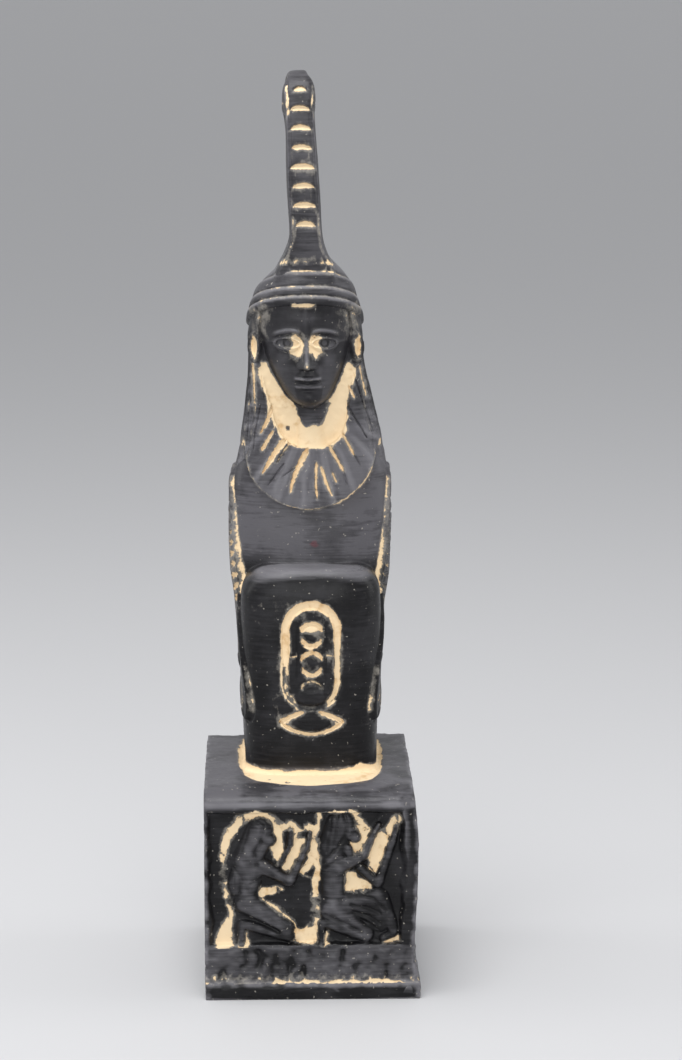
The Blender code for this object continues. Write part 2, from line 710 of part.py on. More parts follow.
def kneeling_one():
    return (
        ((8.0, 36.2), (5.6, 28.6), (4.5, 4.6), 0.75),
        ((11.2, 34.0), (11.8, 33.4), (2.8, 2.4), 0.95),
        ((10.4, 29.0), (10.4, 28.2), (1.4, 1.2), 0.9),
        ((6.2, 25.2), (6.2, 13.6), (4.3, 3.4), 0.85),
        ((8.0, 23.6), (15.4, 27.6), (2.4, 1.7), 1.0),
        ((15.4, 27.6), (18.6, 36.0), (1.6, 1.1), 0.9),
        ((14.6, 23.2), (19.6, 18.2), (1.6, 1.6), 0.7),
        ((19.6, 18.2), (24.6, 35.6), (1.6, 1.3), 0.75),
        ((6.0, 11.2), (19.8, 14.4), (3.0, 2.8), 0.7),
        ((20.0, 14.2), (24.2, 4.0), (2.6, 1.7), 0.65),
        ((5.6, 10.4), (16.2, 2.6), (3.5, 2.3), 0.95),
        ((16.0, 2.2), (3.6, 6.8), (1.9, 1.6), 0.75),
        ((2.8, 6.6), (2.8, 1.0), (1.4, 1.3), 0.6),
    )


def limb(name, start, end, radii, high, on_panel, group):
    # A low rounded bar between two joints, standing on the panel.
    along = Vector(end) - Vector(start)
    heading = math.atan2(along.y, along.x)
    rings = []
    for level, pull in ((-0.5, 1.0), (0.6, 1.0), (1.0, 0.5)):
        ring = []
        for joint, radius, turn in ((start, radii[0], math.pi / 2), (end, radii[1], -math.pi / 2)):
            for i in range(5):
                angle = heading + turn + math.pi * i / 4
                ring.append(on_panel(joint[0] + radius * pull * math.cos(angle),
                                     joint[1] + radius * pull * math.sin(angle), level * high))
        rings.append(ring)
    return ring_solid(name, rings, group)


def field_height():
    return PLINTH_HEIGHT - FRONT_SLOPE_DROP - FIELD_TOP_MARGIN - LIP_HEIGHT - BAND_HEIGHT


def field_cut(name, low, high, wall, turn, group):
    # A box that sinks one wall's field; turn says which wall.
    base = LIP_HEIGHT + BAND_HEIGHT
    corners = [(low, base), (high, base), (high, base + field_height()), (low, base + field_height())]
    prism(name, corners, lambda u, v: turn(u, v, wall + 0.01),
          lambda u, v: turn(u, v, wall - FIELD_SINK), group)


def front_wall(u, v, out):
    return Vector((u, -out, v))


def right_wall(u, v, out):
    return Vector((out, u, v))


def left_wall(u, v, out):
    return Vector((-out, -u, v))


def back_wall(u, v, out):
    return Vector((-u, out, v))


def worshipper(name, pose, corner, size, mirrored, wall, turn, group):
    for i, (start, end, radii, high) in enumerate(pose):
        def on_panel(u, v, out):
            across = -u if mirrored else u
            level = wall - FIELD_SINK + out * RELIEF_HEIGHT
            return turn(corner[0] + across * size, corner[1] + v * size, level)

        limb(f"{name} limb {i}", start, end, radii, high, on_panel, group)


def plinth_carving(fields, figures, strokes):
    front = PLINTH_DEPTH / 2
    side = PLINTH_WIDTH / 2
    base = LIP_HEIGHT + BAND_HEIGHT
    size = field_height() / DRAWN_FIELD_HEIGHT * 0.001
    low = -side + FIELD_SIDE_MARGIN
    high = side - POST_WIDTH + PLINTH_FLARE
    field_cut("front field", low, high, front, front_wall, fields)
    spread = (high - low) / 0.0576 * 0.001
    worshipper("left", kneeling_both(), (low + 0.3 * spread, base), size, False, front, front_wall, figures)
    worshipper("right", kneeling_one(), (low + 29.6 * spread, base), size, False, front, front_wall, figures)
    reach = front - SIDE_MARGIN
    field_cut("right field", -reach, reach, side, right_wall, fields)
    field_cut("left field", -reach, reach, side, left_wall, fields)
    worshipper("right side", kneeling_both(), (16.0 * size, base), size, True, side, right_wall, figures)
    worshipper("left side", kneeling_both(), (-16.0 * size, base), size, False, side, left_wall, figures)
    back_reach = side - SIDE_MARGIN
    field_cut("back field", -back_reach, back_reach, front, back_wall, fields)
    band_strokes("front", front, side, 13, 2, front_wall, strokes)
    band_strokes("right", side, front, 13, 1, right_wall, strokes)
    band_strokes("left", side, front, 13, 1, left_wall, strokes)


def band_strokes(name, wall, half, count, rows, turn, group):
    # Rows of short slanting cuts that are no letters.
    lean = PLINTH_FLARE * (PLINTH_HEIGHT - BAND_HEIGHT / 2) / PLINTH_HEIGHT
    outward = turn(0, 0, 1)
    step = (2 * half - 0.004) / count
    row_high = (BAND_HEIGHT - 0.002) / rows
    for row in range(rows):
        for i in range(count):
            u = -half + 0.002 + step * (i + 0.5)
            middle = LIP_HEIGHT + 0.001 + row_high * (row + 0.5)
            tall = row_high * (0.30 + 0.10 * math.sin(2.3 * i + row))
            slant = step * 0.28 * math.sin(1.7 * i + 2.1 * row)
            points = [turn(u - slant, middle - tall, wall + lean), turn(u, middle, wall + lean),
                      turn(u + slant, middle + tall, wall + lean)]
            groove(f"{name} stroke {row} {i}", points, outward, STROKE_WIDTH, STROKE_DEPTH, group)


def front_post(group):
    # The upright at the right of the front field stands higher than the slope's edge.
    side = PLINTH_WIDTH / 2
    front = PLINTH_DEPTH / 2
    top = PLINTH_HEIGHT - FRONT_SLOPE_DROP / 2
    inner = side - POST_WIDTH
    outer = side - EDGE_ROUNDING / 4
    rear = FRONT_SLOPE_DEPTH / 2 - front
    outline = [(inner, -front), (outer, -front), (outer, rear), (inner, rear)]
    prism("front post", outline, lambda x, y: Vector((x, y, PLINTH_HEIGHT / 2)),
          lambda x, y: Vector((x, y, top)), group)


def black_paint():
    # Satin black paint over pale cast stone.
    paint = bpy.data.materials.new("satin black paint")
    paint.use_nodes = True
    shader = paint.node_tree.nodes["Principled BSDF"]
    shader.inputs["Base Color"].default_value = (0.018, 0.018, 0.020, 1)
    shader.inputs["Roughness"].default_value = 0.45
    shader.inputs["Metallic"].default_value = 0.0
    return paint


def main():
    for old in list(bpy.data.objects):
        bpy.data.objects.remove(old, do_unlink=True)
    statue = plinth()
    statue.data.materials.append(black_paint())
    forms = collection("forms")
    openings = collection("openings")
    raised = collection("raised")
    loops = collection("loops")
    cuts = collection("cuts")
    torso(forms)
    knees(forms)
    hair(forms)
    wings(forms)
    feather(forms)
    front_post(forms)
    face_opening(openings)
    face(raised)
    neck(raised)
    eyes(raised, loops)
    ears(raised, cuts)
    plinth_carving(openings, raised, cuts)
    hair_strokes(cuts)
    wing_strokes(cuts)
    feather_strokes(cuts)
    knee_strokes(loops, cuts)
    boolean(statue, "UNION", forms)
    boolean(statue, "DIFFERENCE", openings)
    boolean(statue, "UNION", raised)
    boolean(statue, "DIFFERENCE", loops)
    thin_out(statue, FORM_FACES_KEPT)
    boolean(statue, "DIFFERENCE", cuts)
    thin_out(statue, FACES_KEPT)


main()
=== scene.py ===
import math

import bpy
import numpy as np
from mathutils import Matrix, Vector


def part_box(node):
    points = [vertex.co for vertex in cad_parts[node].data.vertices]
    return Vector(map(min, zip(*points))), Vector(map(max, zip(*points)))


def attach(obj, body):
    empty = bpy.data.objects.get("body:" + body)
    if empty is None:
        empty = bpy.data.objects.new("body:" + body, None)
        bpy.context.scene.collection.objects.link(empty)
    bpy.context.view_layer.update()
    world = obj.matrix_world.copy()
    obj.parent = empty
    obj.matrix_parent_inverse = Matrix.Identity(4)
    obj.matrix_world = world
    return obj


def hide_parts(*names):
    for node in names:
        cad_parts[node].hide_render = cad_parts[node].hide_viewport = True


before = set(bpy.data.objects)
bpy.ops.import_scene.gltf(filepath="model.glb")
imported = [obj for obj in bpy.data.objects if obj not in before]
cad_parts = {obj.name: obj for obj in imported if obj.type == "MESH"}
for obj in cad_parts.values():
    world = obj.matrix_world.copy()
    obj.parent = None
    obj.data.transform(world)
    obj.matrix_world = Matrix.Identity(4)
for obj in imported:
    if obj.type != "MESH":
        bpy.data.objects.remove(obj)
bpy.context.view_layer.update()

# The statue is shaped in millimetres, with heights counted from the plinth's top.
mm = 0.001
cadLow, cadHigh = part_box("maat_statue")

plinthSizes = {
    "flare": 0.4,  # each wall leans out by this on its way down
    "lipHigh": 4.7,
    "lipOut": 0.6,
    "high": 63.0,
    "slopeDeep": 10.5,  # the rounded band along the top of the front
    "slopeDrop": 4.3,
    "bandHigh": 11.6,
    "fieldSink": 1.8,
    "fieldTop": 1.8,
    "fieldSide": 0.8,
    "post": 4.1,
    "sideMargin": 4.0,
    "relief": 2.1,
    "behind": 3.5,  # left free behind the figure
    "figureDeep": 29.6,
    "cuts": 24,
    "crowding": 1.8,  # gathers the cuts towards the front
}
lipOver = plinthSizes["flare"] + plinthSizes["lipOut"]
plinthSizes["halfWide"] = (cadHigh.x - cadLow.x) / mm / 2 - lipOver
plinthSizes["halfDeep"] = (cadHigh.y - cadLow.y) / mm / 2 - lipOver
# where the figure's own Y = 0 lies
figureBehind = plinthSizes["halfDeep"] - plinthSizes["behind"] - plinthSizes["figureDeep"]

bodyForms = {
    # height, half width, front, back
    "torso": ((-3, 19.6, 0.0, 28.6), (12, 20.6, 0.0, 29.2), (28, 21.0, 0.0, 29.6), (46, 21.8, 0.2, 29.4),
              (56, 23.2, -0.2, 28.9), (66, 23.6, 0.0, 28.0), (72, 23.7, 0.4, 27.4), (78, 23.6, 1.1, 26.6),
              (86, 23.2, 2.3, 25.4), (91, 22.1, 3.1, 24.6), (95, 21.2, 3.9, 23.6), (98, 18.6, 5.2, 21.6)),
    "knees": ((-3, 19.6, -12.4, 14.0), (10, 19.9, -12.6, 14.0), (30, 20.3, -12.6, 14.0),
              (45, 20.9, -12.4, 14.0), (54, 20.7, -11.9, 14.0)),
    "hair": ((76, 25.2, -1.5, 28.2), (82, 25.0, -0.9, 27.4), (88, 24.2, -0.2, 26.8), (94, 21.6, 0.5, 26.4),
             (99, 20.9, 0.7, 26.2), (105, 19.6, 0.0, 26.0), (111, 18.6, -1.0, 26.0),
             (117, 17.6, -2.1, 26.2), (123, 17.0, -3.1, 26.4), (129, 16.9, -3.9, 26.4),
             (135, 16.1, -4.6, 25.6), (138, 15.4, -4.7, 24.6), (141, 14.6, -4.2, 23.2),
             (144, 13.2, -2.9, 21.2), (147, 10.7, -1.2, 18.8), (150, 7.6, -0.9, 16.4),
             (153, 4.6, 0.2, 13.6)),
    "torsoPower": 2.6,
    "kneesPower": 3.2,
    "headPower": 2.25,
    "kneesTop": 61.0,
    "kneesRounding": (9.0, 7.2, 5.0),  # left, right, front
    "wingRise": 0.8,
}


def smoothCurve(rows, column, at):
    # a smooth curve through one column of a table
    table = np.array(rows, float)
    knots, values = table[:, 0], table[:, column]
    slopes = np.gradient(values, knots)
    slopes[1:-1] = (values[2:] - values[:-2]) / (knots[2:] - knots[:-2])
    at = np.clip(at, knots[0], knots[-1])
    low = np.clip(np.searchsorted(knots, at, side="right") - 1, 0, len(knots) - 2)
    step = knots[low + 1] - knots[low]
    t = (at - knots[low]) / step
    line = values[low] * (2 * t**3 - 3 * t**2 + 1) + values[low + 1] * (3 * t**2 - 2 * t**3)
    return line + step * (slopes[low] * (t**3 - 2 * t**2 + t) + slopes[low + 1] * (t**3 - t**2))


def smoothStep(low, high, value):
    t = np.clip((value - low) / (high - low), 0, 1)
    return t * t * (3 - 2 * t)


def plateau(value, foot, edge, farEdge, farFoot):
    # rises from foot to edge and falls again from farEdge to farFoot
    return smoothStep(foot, edge, value) * smoothStep(farFoot, farEdge, value)


def bell(value, centre, spread):
    return np.exp(-((value - centre) / spread) ** 2)


def section(form, height):
    # half width, front, back and squareness of a form at these heights
    half, front, back = (smoothCurve(bodyForms[form], column, height) for column in (1, 2, 3))
    if form == "knees":
        return half, front, back, bodyForms["kneesPower"]
    if form == "torso":
        return half, front, back, bodyForms["torsoPower"]
    blend = np.clip((height - 90) / 14, 0, 1)
    return half, front, back, bodyForms["torsoPower"] * (1 - blend) + bodyForms["headPower"] * blend


def sectionPoint(form, height, angle, grow=0.0):
    half, front, back, power = section(form, height)
    side, ahead = np.sin(angle), np.cos(angle)
    x = (half + grow) * np.sign(side) * np.abs(side) ** (2 / power)
    y = (front + back) / 2 - ((back - front) / 2 + grow) * np.sign(ahead) * np.abs(ahead) ** (2 / power)
    return x, y


def widthAt(form, y, height):
    half, front, back, power = section(form, height)
    share = np.clip(np.abs(y - (front + back) / 2) / ((back - front) / 2), 0, 1)
    return half * (1 - share**power) ** (1 / power)


def deselectAll():
    if bpy.context.object and bpy.context.object.mode != "OBJECT":
        bpy.ops.object.mode_set(mode="OBJECT")
    bpy.ops.object.select_all(action="DESELECT")


def activate(piece):
    deselectAll()
    piece.select_set(True)
    bpy.context.view_layer.objects.active = piece


def named(name):
    # the object that an operator has just added
    made = bpy.context.object
    made.name = name
    return made


def subdivide(cuts, everything=False):
    bpy.ops.object.mode_set(mode="EDIT")
    if everything:
        bpy.ops.mesh.select_all(action="SELECT")
    bpy.ops.mesh.subdivide(number_cuts=cuts)
    bpy.ops.object.mode_set(mode="OBJECT")


def applyModifier(piece, kind, **settings):
    modifier = piece.modifiers.new(kind.lower(), kind)
    for key, value in settings.items():
        setattr(modifier, key, value)
    activate(piece)
    bpy.ops.object.modifier_apply(modifier=modifier.name)


def readRows(items, name):
    # one vector for each vertex, face or normal
    flat = np.empty(len(items) * 3, np.float32)
    items.foreach_get(name, flat)
    return flat.reshape(-1, 3)


def inFigure(points):
    # from the object's metres to the figure's millimetres
    return points / mm - (0, figureBehind, plinthSizes["high"])


def readPoints(piece):
    return inFigure(readRows(piece.data.vertices, "co"))


def writePoints(piece, points):
    world = (np.asarray(points) + (0, figureBehind, plinthSizes["high"])) * mm
    piece.data.vertices.foreach_set("co", world.astype(np.float32).ravel())
    piece.data.update()


def addLoft(name, around, upward, pointAt):
    # a cylinder, ringed upward times, whose points go where pointAt(angle, share of height) says
    deselectAll()
    bpy.ops.mesh.primitive_cylinder_add(vertices=around, radius=1, depth=1)
    piece = named(name)
    mesh = piece.data
    ends = np.array([mesh.vertices[i].co.z for edge in mesh.edges for i in edge.vertices]).reshape(-1, 2)
    upright = np.abs(ends[:, 0] - ends[:, 1]) > 0.5
    bpy.context.tool_settings.mesh_select_mode = (False, True, False)
    mesh.vertices.foreach_set("select", np.zeros(len(mesh.vertices), bool))
    mesh.polygons.foreach_set("select", np.zeros(len(mesh.polygons), bool))
    mesh.edges.foreach_set("select", upright)
    subdivide(upward - 1)
    unit = readRows(mesh.vertices, "co").astype(float)
    angle = np.arctan2(unit[:, 0], -unit[:, 1])
    share = np.clip(unit[:, 2] + 0.5, 0, 1)
    writePoints(piece, np.column_stack(pointAt(angle, share)))
    return piece


def addBlock(name, low, high, cuts=0):
    deselectAll()
    bpy.ops.mesh.primitive_cube_add(size=1)
    piece = named(name)
    if cuts:
        subdivide(cuts, everything=True)
    share = readRows(piece.data.vertices, "co") + 0.5
    writePoints(piece, np.array(low) + share * (np.array(high) - np.array(low)))
    return piece


def addBall(name, centre, radii):
    deselectAll()
    bpy.ops.mesh.primitive_uv_sphere_add(segments=40, ring_count=24, radius=1)
    piece = named(name)
    writePoints(piece, readRows(piece.data.vertices, "co") * radii + centre)
    return piece


def combine(piece, tool, operation):
    applyModifier(piece, "BOOLEAN", operation=operation, object=tool, solver="EXACT")
    bpy.data.objects.remove(tool, do_unlink=True)


def alongOutline(outline, angle):
    # the outline's point for each angle of a cylinder with as many sides as it has points
    points = np.array(outline, float)
    index = np.rint(np.mod(angle, 2 * math.pi) / (2 * math.pi) * len(points)).astype(int) % len(points)
    return points[index]


def addPrism(name, outline, placeAt):
    # an outline swept between two ends; placeAt(outline points, share)
    return addLoft(name, len(outline), 1, lambda angle, share: placeAt(alongOutline(outline, angle), share))


print("shaping the plinth")


def wallField(wall, low, high):
    # a cutter that sinks one wall's field, from low to high along the wall
    s = plinthSizes
    base = s["lipHigh"] + s["bandHigh"] - s["high"]
    top = -s["slopeDrop"] - s["fieldTop"]
    deep, wide = s["halfDeep"], s["halfWide"]
    sink = s["fieldSink"]
    back = -figureBehind
    corners = {
        "back": ((low, back + deep - sink, base), (high, back + deep + 5, top)),
        "left": ((-wide - 5, back + low, base), (-wide + sink, back + high, top)),
        "right": ((wide - sink, back + low, base), (wide + 5, back + high, top)),
    }[wall]
    return addBlock(f"{wall} field", *corners)


def makePlinth():
    s = plinthSizes
    back = -figureBehind
    wide, deep, high = s["halfWide"], s["halfDeep"], s["high"]
    block = addBlock("plinth", (-wide, back - deep, -high), (wide, back + deep, 0), s["cuts"])
    points = readPoints(block)
    front = back - deep
    points[:, 1] = front + 2 * deep * np.clip((points[:, 1] - front) / (2 * deep), 0, 1) ** s["crowding"]
    run = np.clip((points[:, 1] - front) / s["slopeDeep"], 0, 1)
    drop = s["slopeDrop"] * (1 - np.sin(np.arccos(np.clip(1 - run, 0, 1))))
    share = 1 + points[:, 2] / high
    points[:, 2] -= drop * share
    lean = 1 + s["flare"] * (1 - share) / wide
    points[:, 0] *= lean
    points[:, 1] = back + (points[:, 1] - back) * (1 + s["flare"] * (1 - share) / deep)
    writePoints(block, points)
    out = lipOver
    low, top = -high, s["lipHigh"] - high
    lip = addBlock("lip", (-wide - out, back - deep - out, low), (wide + out, back + deep + out, top), 1)
    combine(block, lip, "UNION")
    postTop = -s["slopeDrop"] / 2
    postBack = back - deep + s["slopeDeep"] / 2
    post = addBlock("post", (wide - s["post"], back - deep, -high / 2), (wide - 0.3, postBack, postTop), 6)
    combine(block, post, "UNION")
    for wall, half in (("left", deep), ("right", deep), ("back", wide)):
        reach = half - s["sideMargin"]
        combine(block, wallField(wall, -reach, reach), "DIFFERENCE")
    return block


print("shaping the figure")


def upThrough(rows, share):
    # from a table's lowest height to its highest
    low, high = rows[0][0], rows[-1][0]
    return low + (high - low) * share


def makeTorso():
    def pointAt(angle, share):
        height = upThrough(bodyForms["torso"], share)
        x, y = sectionPoint("torso", height, angle)
        return x, y, height
    return addLoft("torso", 120, 60, pointAt)


def makeKnees():
    left, right, ahead = bodyForms["kneesRounding"]
    foot, top = bodyForms["knees"][0][0], bodyForms["kneesTop"]
    straight = top - left
    upright = 0.6  # share of the rings below the rounded top

    def pointAt(angle, share):
        # the upright slab, then its rounded top
        turn = np.clip((share - upright) / 0.4, 0, 1) * math.radians(88)
        slab = foot + (straight - foot) * share / upright
        height = np.where(share < upright, slab, top - left * (1 - np.sin(turn)))
        half, front, back, power = section("knees", height)
        radius = np.where(np.sin(angle) < 0, left, right)
        half = half - (1 - np.cos(turn)) * radius
        forward = (1 - np.cos(turn)) * ahead
        side, face = np.sin(angle), np.cos(angle)
        x = half * np.sign(side) * np.abs(side) ** (2 / power)
        deep = (back - front - forward) / 2
        y = (front + forward + back) / 2 - deep * np.sign(face) * np.abs(face) ** (2 / power)
        return x, y, height
    return addLoft("knees", 120, 60, pointAt)


hairSizes = {
    "hem": (96.0, 19.8, 18.4),  # centre height and half axes of the bib's rounded hem
    "hemAside": -0.4,
    "bandEdges": ((139.0, 0.0, 0.95), (141.5, 0.95, 0.62), (144.2, 0.62, 0.30), (148.2, 0.30, 0.0)),
    "bandSlope": -0.42,
}
faceSizes = {
    "chin": 109.5,
    "top": 139.0,
    "eyeAcross": 5.5,
    "eyeShare": 0.605,  # heights are shares of the run from the chin to the head band
    "browShare": 0.735,
    "noseShare": 0.35,
    "mouthShare": 0.215,
    "mouthHalf": 4.2,
    "halves": ((-0.07, 0.8), (-0.045, 3.2), (0.0, 5.3), (0.06, 6.9), (0.15, 8.5), (0.3, 10.7), (0.5, 12.9),
               (0.7, 14.2), (1.1, 13.9)),
    "fronts": ((-0.07, 1.2), (-0.045, -1.0), (0.0, -2.7), (0.08, -3.4), (0.3, -3.9), (0.6, -4.2),
               (0.85, -4.4), (1.1, -4.0)),
    "sideDeep": 7.0,
    "opening": ((0, 138.9), (4.5, 138.5), (9, 137.1), (12.5, 135.0), (14.4, 132.2), (15.1, 126),
                (14.6, 119.5), (13.3, 114), (12.0, 108.5), (10.9, 103.5), (9.4, 99.6), (7.0, 97.2),
                (3.8, 96.0), (0, 95.6)),
    "openingPoints": 96,
    # amount, place across and its spread, share of the height and its spread
    "mounds": ((-0.28, 0, 0.55, 0.292, 0.028),  # under the nose
               (-0.45, 0, 2.6, 0.128, 0.020),  # under the lip
               (1.0, 0, 3.3, 0.062, 0.052),  # chin
               (0.5, 7.2, 2.7, 0.44, 0.10)),  # cheeks
}
faceTall = faceSizes["top"] - faceSizes["chin"]


def faceHalf(share):
    return smoothCurve(faceSizes["halves"], 1, share)


def faceDepth(x, share):
    # the plain oval, before its features
    side = faceSizes["sideDeep"]
    turn = np.sqrt(np.clip(1 - (x / faceHalf(share)) ** 2, 0, 1))
    return side - (side - smoothCurve(faceSizes["fronts"], 1, share)) * turn**0.86


def faceOpening():
    # an arch under the head band, closing to a round trench at the throat
    half = list(faceSizes["opening"])
    rows = np.array(half + [(-x, z) for x, z in reversed(half[1:-1])], float)
    closed = np.vstack((rows, rows[:1]))
    at = np.linspace(0, len(rows), faceSizes["openingPoints"], endpoint=False)
    return [tuple(np.interp(t, range(len(closed)), column) for column in closed.T) for t in at]


def makeHair():
    centre, across, down = hairSizes["hem"]

    def pointAt(angle, share):
        height = upThrough(bodyForms["hair"], share)
        x, y = sectionPoint("hair", height, angle)
        return x, y, height
    hair = addLoft("hair", 128, 96, pointAt)
    hem = [(30, centre), (30, 160), (-30, 160), (-30, centre)]
    for i in range(60):
        turn = math.pi * (i + 0.5) / 60
        hem.append((hairSizes["hemAside"] - across * math.cos(turn), centre - 0.01 - down * math.sin(turn)))
    tool = addPrism("hem", hem, lambda rows, share: (rows[:, 0], -20 + 65 * share, rows[:, 1]))
    combine(hair, tool, "INTERSECT")

    def placeAt(rows, share):
        # narrower at its floor, which leans with the face
        floor = 3.8 - 0.05 * (rows[:, 1] - 94)
        return rows[:, 0] * (1 - 0.04 * share), np.where(share > 0.5, floor, -20), rows[:, 1]
    combine(hair, addPrism("opening", faceOpening(), placeAt), "DIFFERENCE")
    return hair


def makeFace():
    def pointAt(angle, share):
        t = faceSizes["halves"][0][0] + 1.12 * share
        half = faceHalf(t)
        front = np.cos(angle) >= 0
        x = half * np.sin(angle) * np.where(front, 1, 0.9)
        y = np.where(front, faceDepth(x, t), faceSizes["sideDeep"] - 6 * np.cos(angle))
        return x, y, faceSizes["chin"] + faceTall * t
    return addLoft("face", 96, 72, pointAt)


neckSizes = {
    "radii": ((88, 7.4), (95, 6.2), (100, 5.5), (106, 5.3), (113, 5.6), (119, 6.0)),
    "aside": -0.3,
    "deep": 6.9,
    "flatness": 0.98,
}


def makeNeck():
    s = neckSizes

    def pointAt(angle, share):
        height = upThrough(s["radii"], share)
        radius = smoothCurve(s["radii"], 1, height)
        x = radius * np.sin(angle) + s["aside"]
        return x, s["deep"] - radius * np.cos(angle) * s["flatness"], height
    return addLoft("neck", 48, 24, pointAt)


earSizes = {
    "turn": 48,
    "centre": (15.2, 2.9, 125.4),
    "rim": (2.1, 4.1, 3.0),  # across, tall, thick
    "rimRound": 0.26,
    "narrowing": 0.28,  # the rim's share lost downwards
    "plate": (2.3, 4.6, 0.9),
    "lobe": (1.25, 1.2, 1.6),
    "lobeDrop": 4.6,
}


def makeEar(side):
    # a rim curled round a hollow, on a thin plate, with a lobe below
    s = earSizes
    turn = math.radians(s["turn"])
    across = np.array((side * math.cos(turn), math.sin(turn), 0))
    out = np.array((side * math.sin(turn), -math.cos(turn), 0))
    centre = np.array(s["centre"]) * (side, 1, 1)
    deselectAll()
    bpy.ops.mesh.primitive_torus_add(major_segments=48, minor_segments=14, major_radius=1,
                                     minor_radius=s["rimRound"])
    rim = named(f"ear rim {side}")
    flat = readRows(rim.data.vertices, "co").astype(float)
    narrow = 1 - s["narrowing"] * np.clip(-flat[:, 1], 0, 1)
    wide, tall, thick = s["rim"]
    writePoints(rim, centre + np.outer(flat[:, 0] * wide * narrow, across)
                + np.outer(flat[:, 1] * tall, (side * -0.06, 0, 1)) + np.outer(flat[:, 2] * thick, out))
    plate = addBall(f"ear plate {side}", (0, 0, 0), (1, 1, 1))
    flat = readPoints(plate)
    wide, tall, thick = s["plate"]
    writePoints(plate, centre + np.outer(flat[:, 0] * wide, across) + np.outer(flat[:, 2] * tall, (0, 0, 1))
                + np.outer(flat[:, 1] * thick - thick, out))
    lobe = addBall(f"ear lobe {side}", centre - np.array((side * 0.5, 0, s["lobeDrop"])), s["lobe"])
    return [rim, plate, lobe]


featherSizes = {
    # height, centre, half width, front and back edge of the blade
    "blade": ((140, -0.2, 9.8, -0.4, 17.0), (146, -0.6, 9.6, -0.8, 16.6), (149.5, -1.0, 8.2, -1.2, 16.0),
              (152.5, -1.1, 6.6, -1.8, 14.9), (156.6, -1.0, 5.05, -2.4, 13.9),
              (160.7, -1.2, 4.7, -2.7, 13.6), (168.8, -1.65, 4.8, -3.1, 13.2),
              (176.9, -2.1, 4.7, -3.2, 12.8), (185.0, -2.45, 4.5, -3.0, 12.2),
              (189.0, -2.65, 4.35, -2.7, 11.9)),
    # angle round the curl's middle, from its drooping tip over the top to the front; half width
    "curl": ((-65, 3.4), (-30, 3.7), (0, 4.1), (40, 3.8), (80, 3.2), (100, 3.2), (115, 3.6),
             (130, 4.6), (150, 4.85),
             (170, 4.5), (190, 4.2)),
    "curlMiddle": (9.0, 196.1),
    "curlRadii": (10.6, 9.9),
    "curlCentres": (-2.8, -3.6),  # at its front and at its top
    "hook": (12.6, 192.2),
    "hookRadius": 0.7,
    "notchHalves": (2.95, 3.4, 3.3, 3.5, 3.0, 3.1, 2.8, 1.85),
    "firstNotch": 162.3,
    "notchStep": 5.56,
    "notchBelow": 0.85,
    "notchHigh": 1.75,
    "barbs": 12,
    "firstBarb": 158,
    "barbStep": 2.7,
}
bladeTop = featherSizes["blade"][-1][0]


def bladeAt(height):
    # centre, half width and front edge of the feather at these heights, carried on into the curl
    s = featherSizes
    centre, half, front = (smoothCurve(s["blade"], column, height) for column in (1, 2, 3))
    rise = np.clip((height - s["curlMiddle"][1]) / s["curlRadii"][1], -1, 1)
    curlFront = s["curlMiddle"][0] - s["curlRadii"][0] * np.sqrt(1 - rise**2)
    curlHalf = smoothCurve(s["curl"], 1, 180 - np.degrees(np.arcsin(rise)))
    above = height > bladeTop + 2
    curl = (s["curlCentres"][0], curlHalf, curlFront)
    return tuple(np.where(above, inCurl, inBlade) for inCurl, inBlade in zip(curl, (centre, half, front)))


def makeFeather():
    # a blade lofted along its own length, round the curl to the drooping tip
    s = featherSizes
    bend = 0.6  # share of the rings that the straight part takes

    def pointAt(angle, share):
        height = 140 + (bladeTop - 140) * np.clip(share / bend, 0, 1)
        degrees = 190 - 255 * np.clip((share - bend) / (1 - bend), 0, 1)
        turn = np.radians(degrees)
        curling = share > bend + 1e-6
        over = np.clip((190 - degrees) / 100, 0, 1)
        centre = s["curlCentres"][0] + (s["curlCentres"][1] - s["curlCentres"][0]) * over
        centre = np.where(curling, centre, smoothCurve(s["blade"], 1, height))
        half = np.where(curling, smoothCurve(s["curl"], 1, degrees), smoothCurve(s["blade"], 2, height))
        outerY = s["curlMiddle"][0] + s["curlRadii"][0] * np.cos(turn)
        outerY = np.where(curling, outerY, smoothCurve(s["blade"], 3, height))
        outerZ = np.where(curling, s["curlMiddle"][1] + s["curlRadii"][1] * np.sin(turn), height)
        innerY = s["hook"][0] + s["hookRadius"] * np.cos(turn)
        innerY = np.where(curling, innerY, smoothCurve(s["blade"], 4, height))
        innerZ = np.where(curling, s["hook"][1] + s["hookRadius"] * np.sin(turn), height)
        side = np.sign(np.sin(angle)) * np.abs(np.sin(angle)) ** 0.4
        run = np.sign(np.cos(angle)) * np.abs(np.cos(angle)) ** 0.4
        aslant = 0.16 * half * side * bell(degrees, 105, 50) * curling
        return (centre + half * side, (outerY + innerY) / 2 + run * (outerY - innerY) / 2,
                (outerZ + innerZ) / 2 + run * (outerZ - innerZ) / 2 + aslant)
    return addLoft("feather", 72, 120, pointAt)


statueSettings = {
    "voxel": 0.45,  # the joined skin's grain
    "smoothing": 0.5,
    "smoothRounds": 5,
    "ridgeSpread": 3,  # rounds over the neighbours, for worn ridges
    # rounds over the neighbours, for the grey of wear and of painted highlight and sheen
    "sheenAndWearSpread": 2,
    "triangles": 196000,
}


def joinAndRemesh(pieces, voxel):
    activate(pieces[0])
    for piece in pieces:
        piece.select_set(True)
    bpy.ops.object.join()
    statue = bpy.context.object
    applyModifier(statue, "REMESH", mode="VOXEL", voxel_size=voxel * mm)
    return statue


pieces = [makePlinth(), makeTorso(), makeKnees(), makeHair(), makeFace(), makeNeck(), makeFeather()]
for side in (-1, 1):
    pieces += makeEar(side)
statue = joinAndRemesh(pieces, statueSettings["voxel"])
statue.name = statue.data.name = "statue"
print("remeshed", len(statue.data.polygons), "faces")


print("refining where the carving is fine")


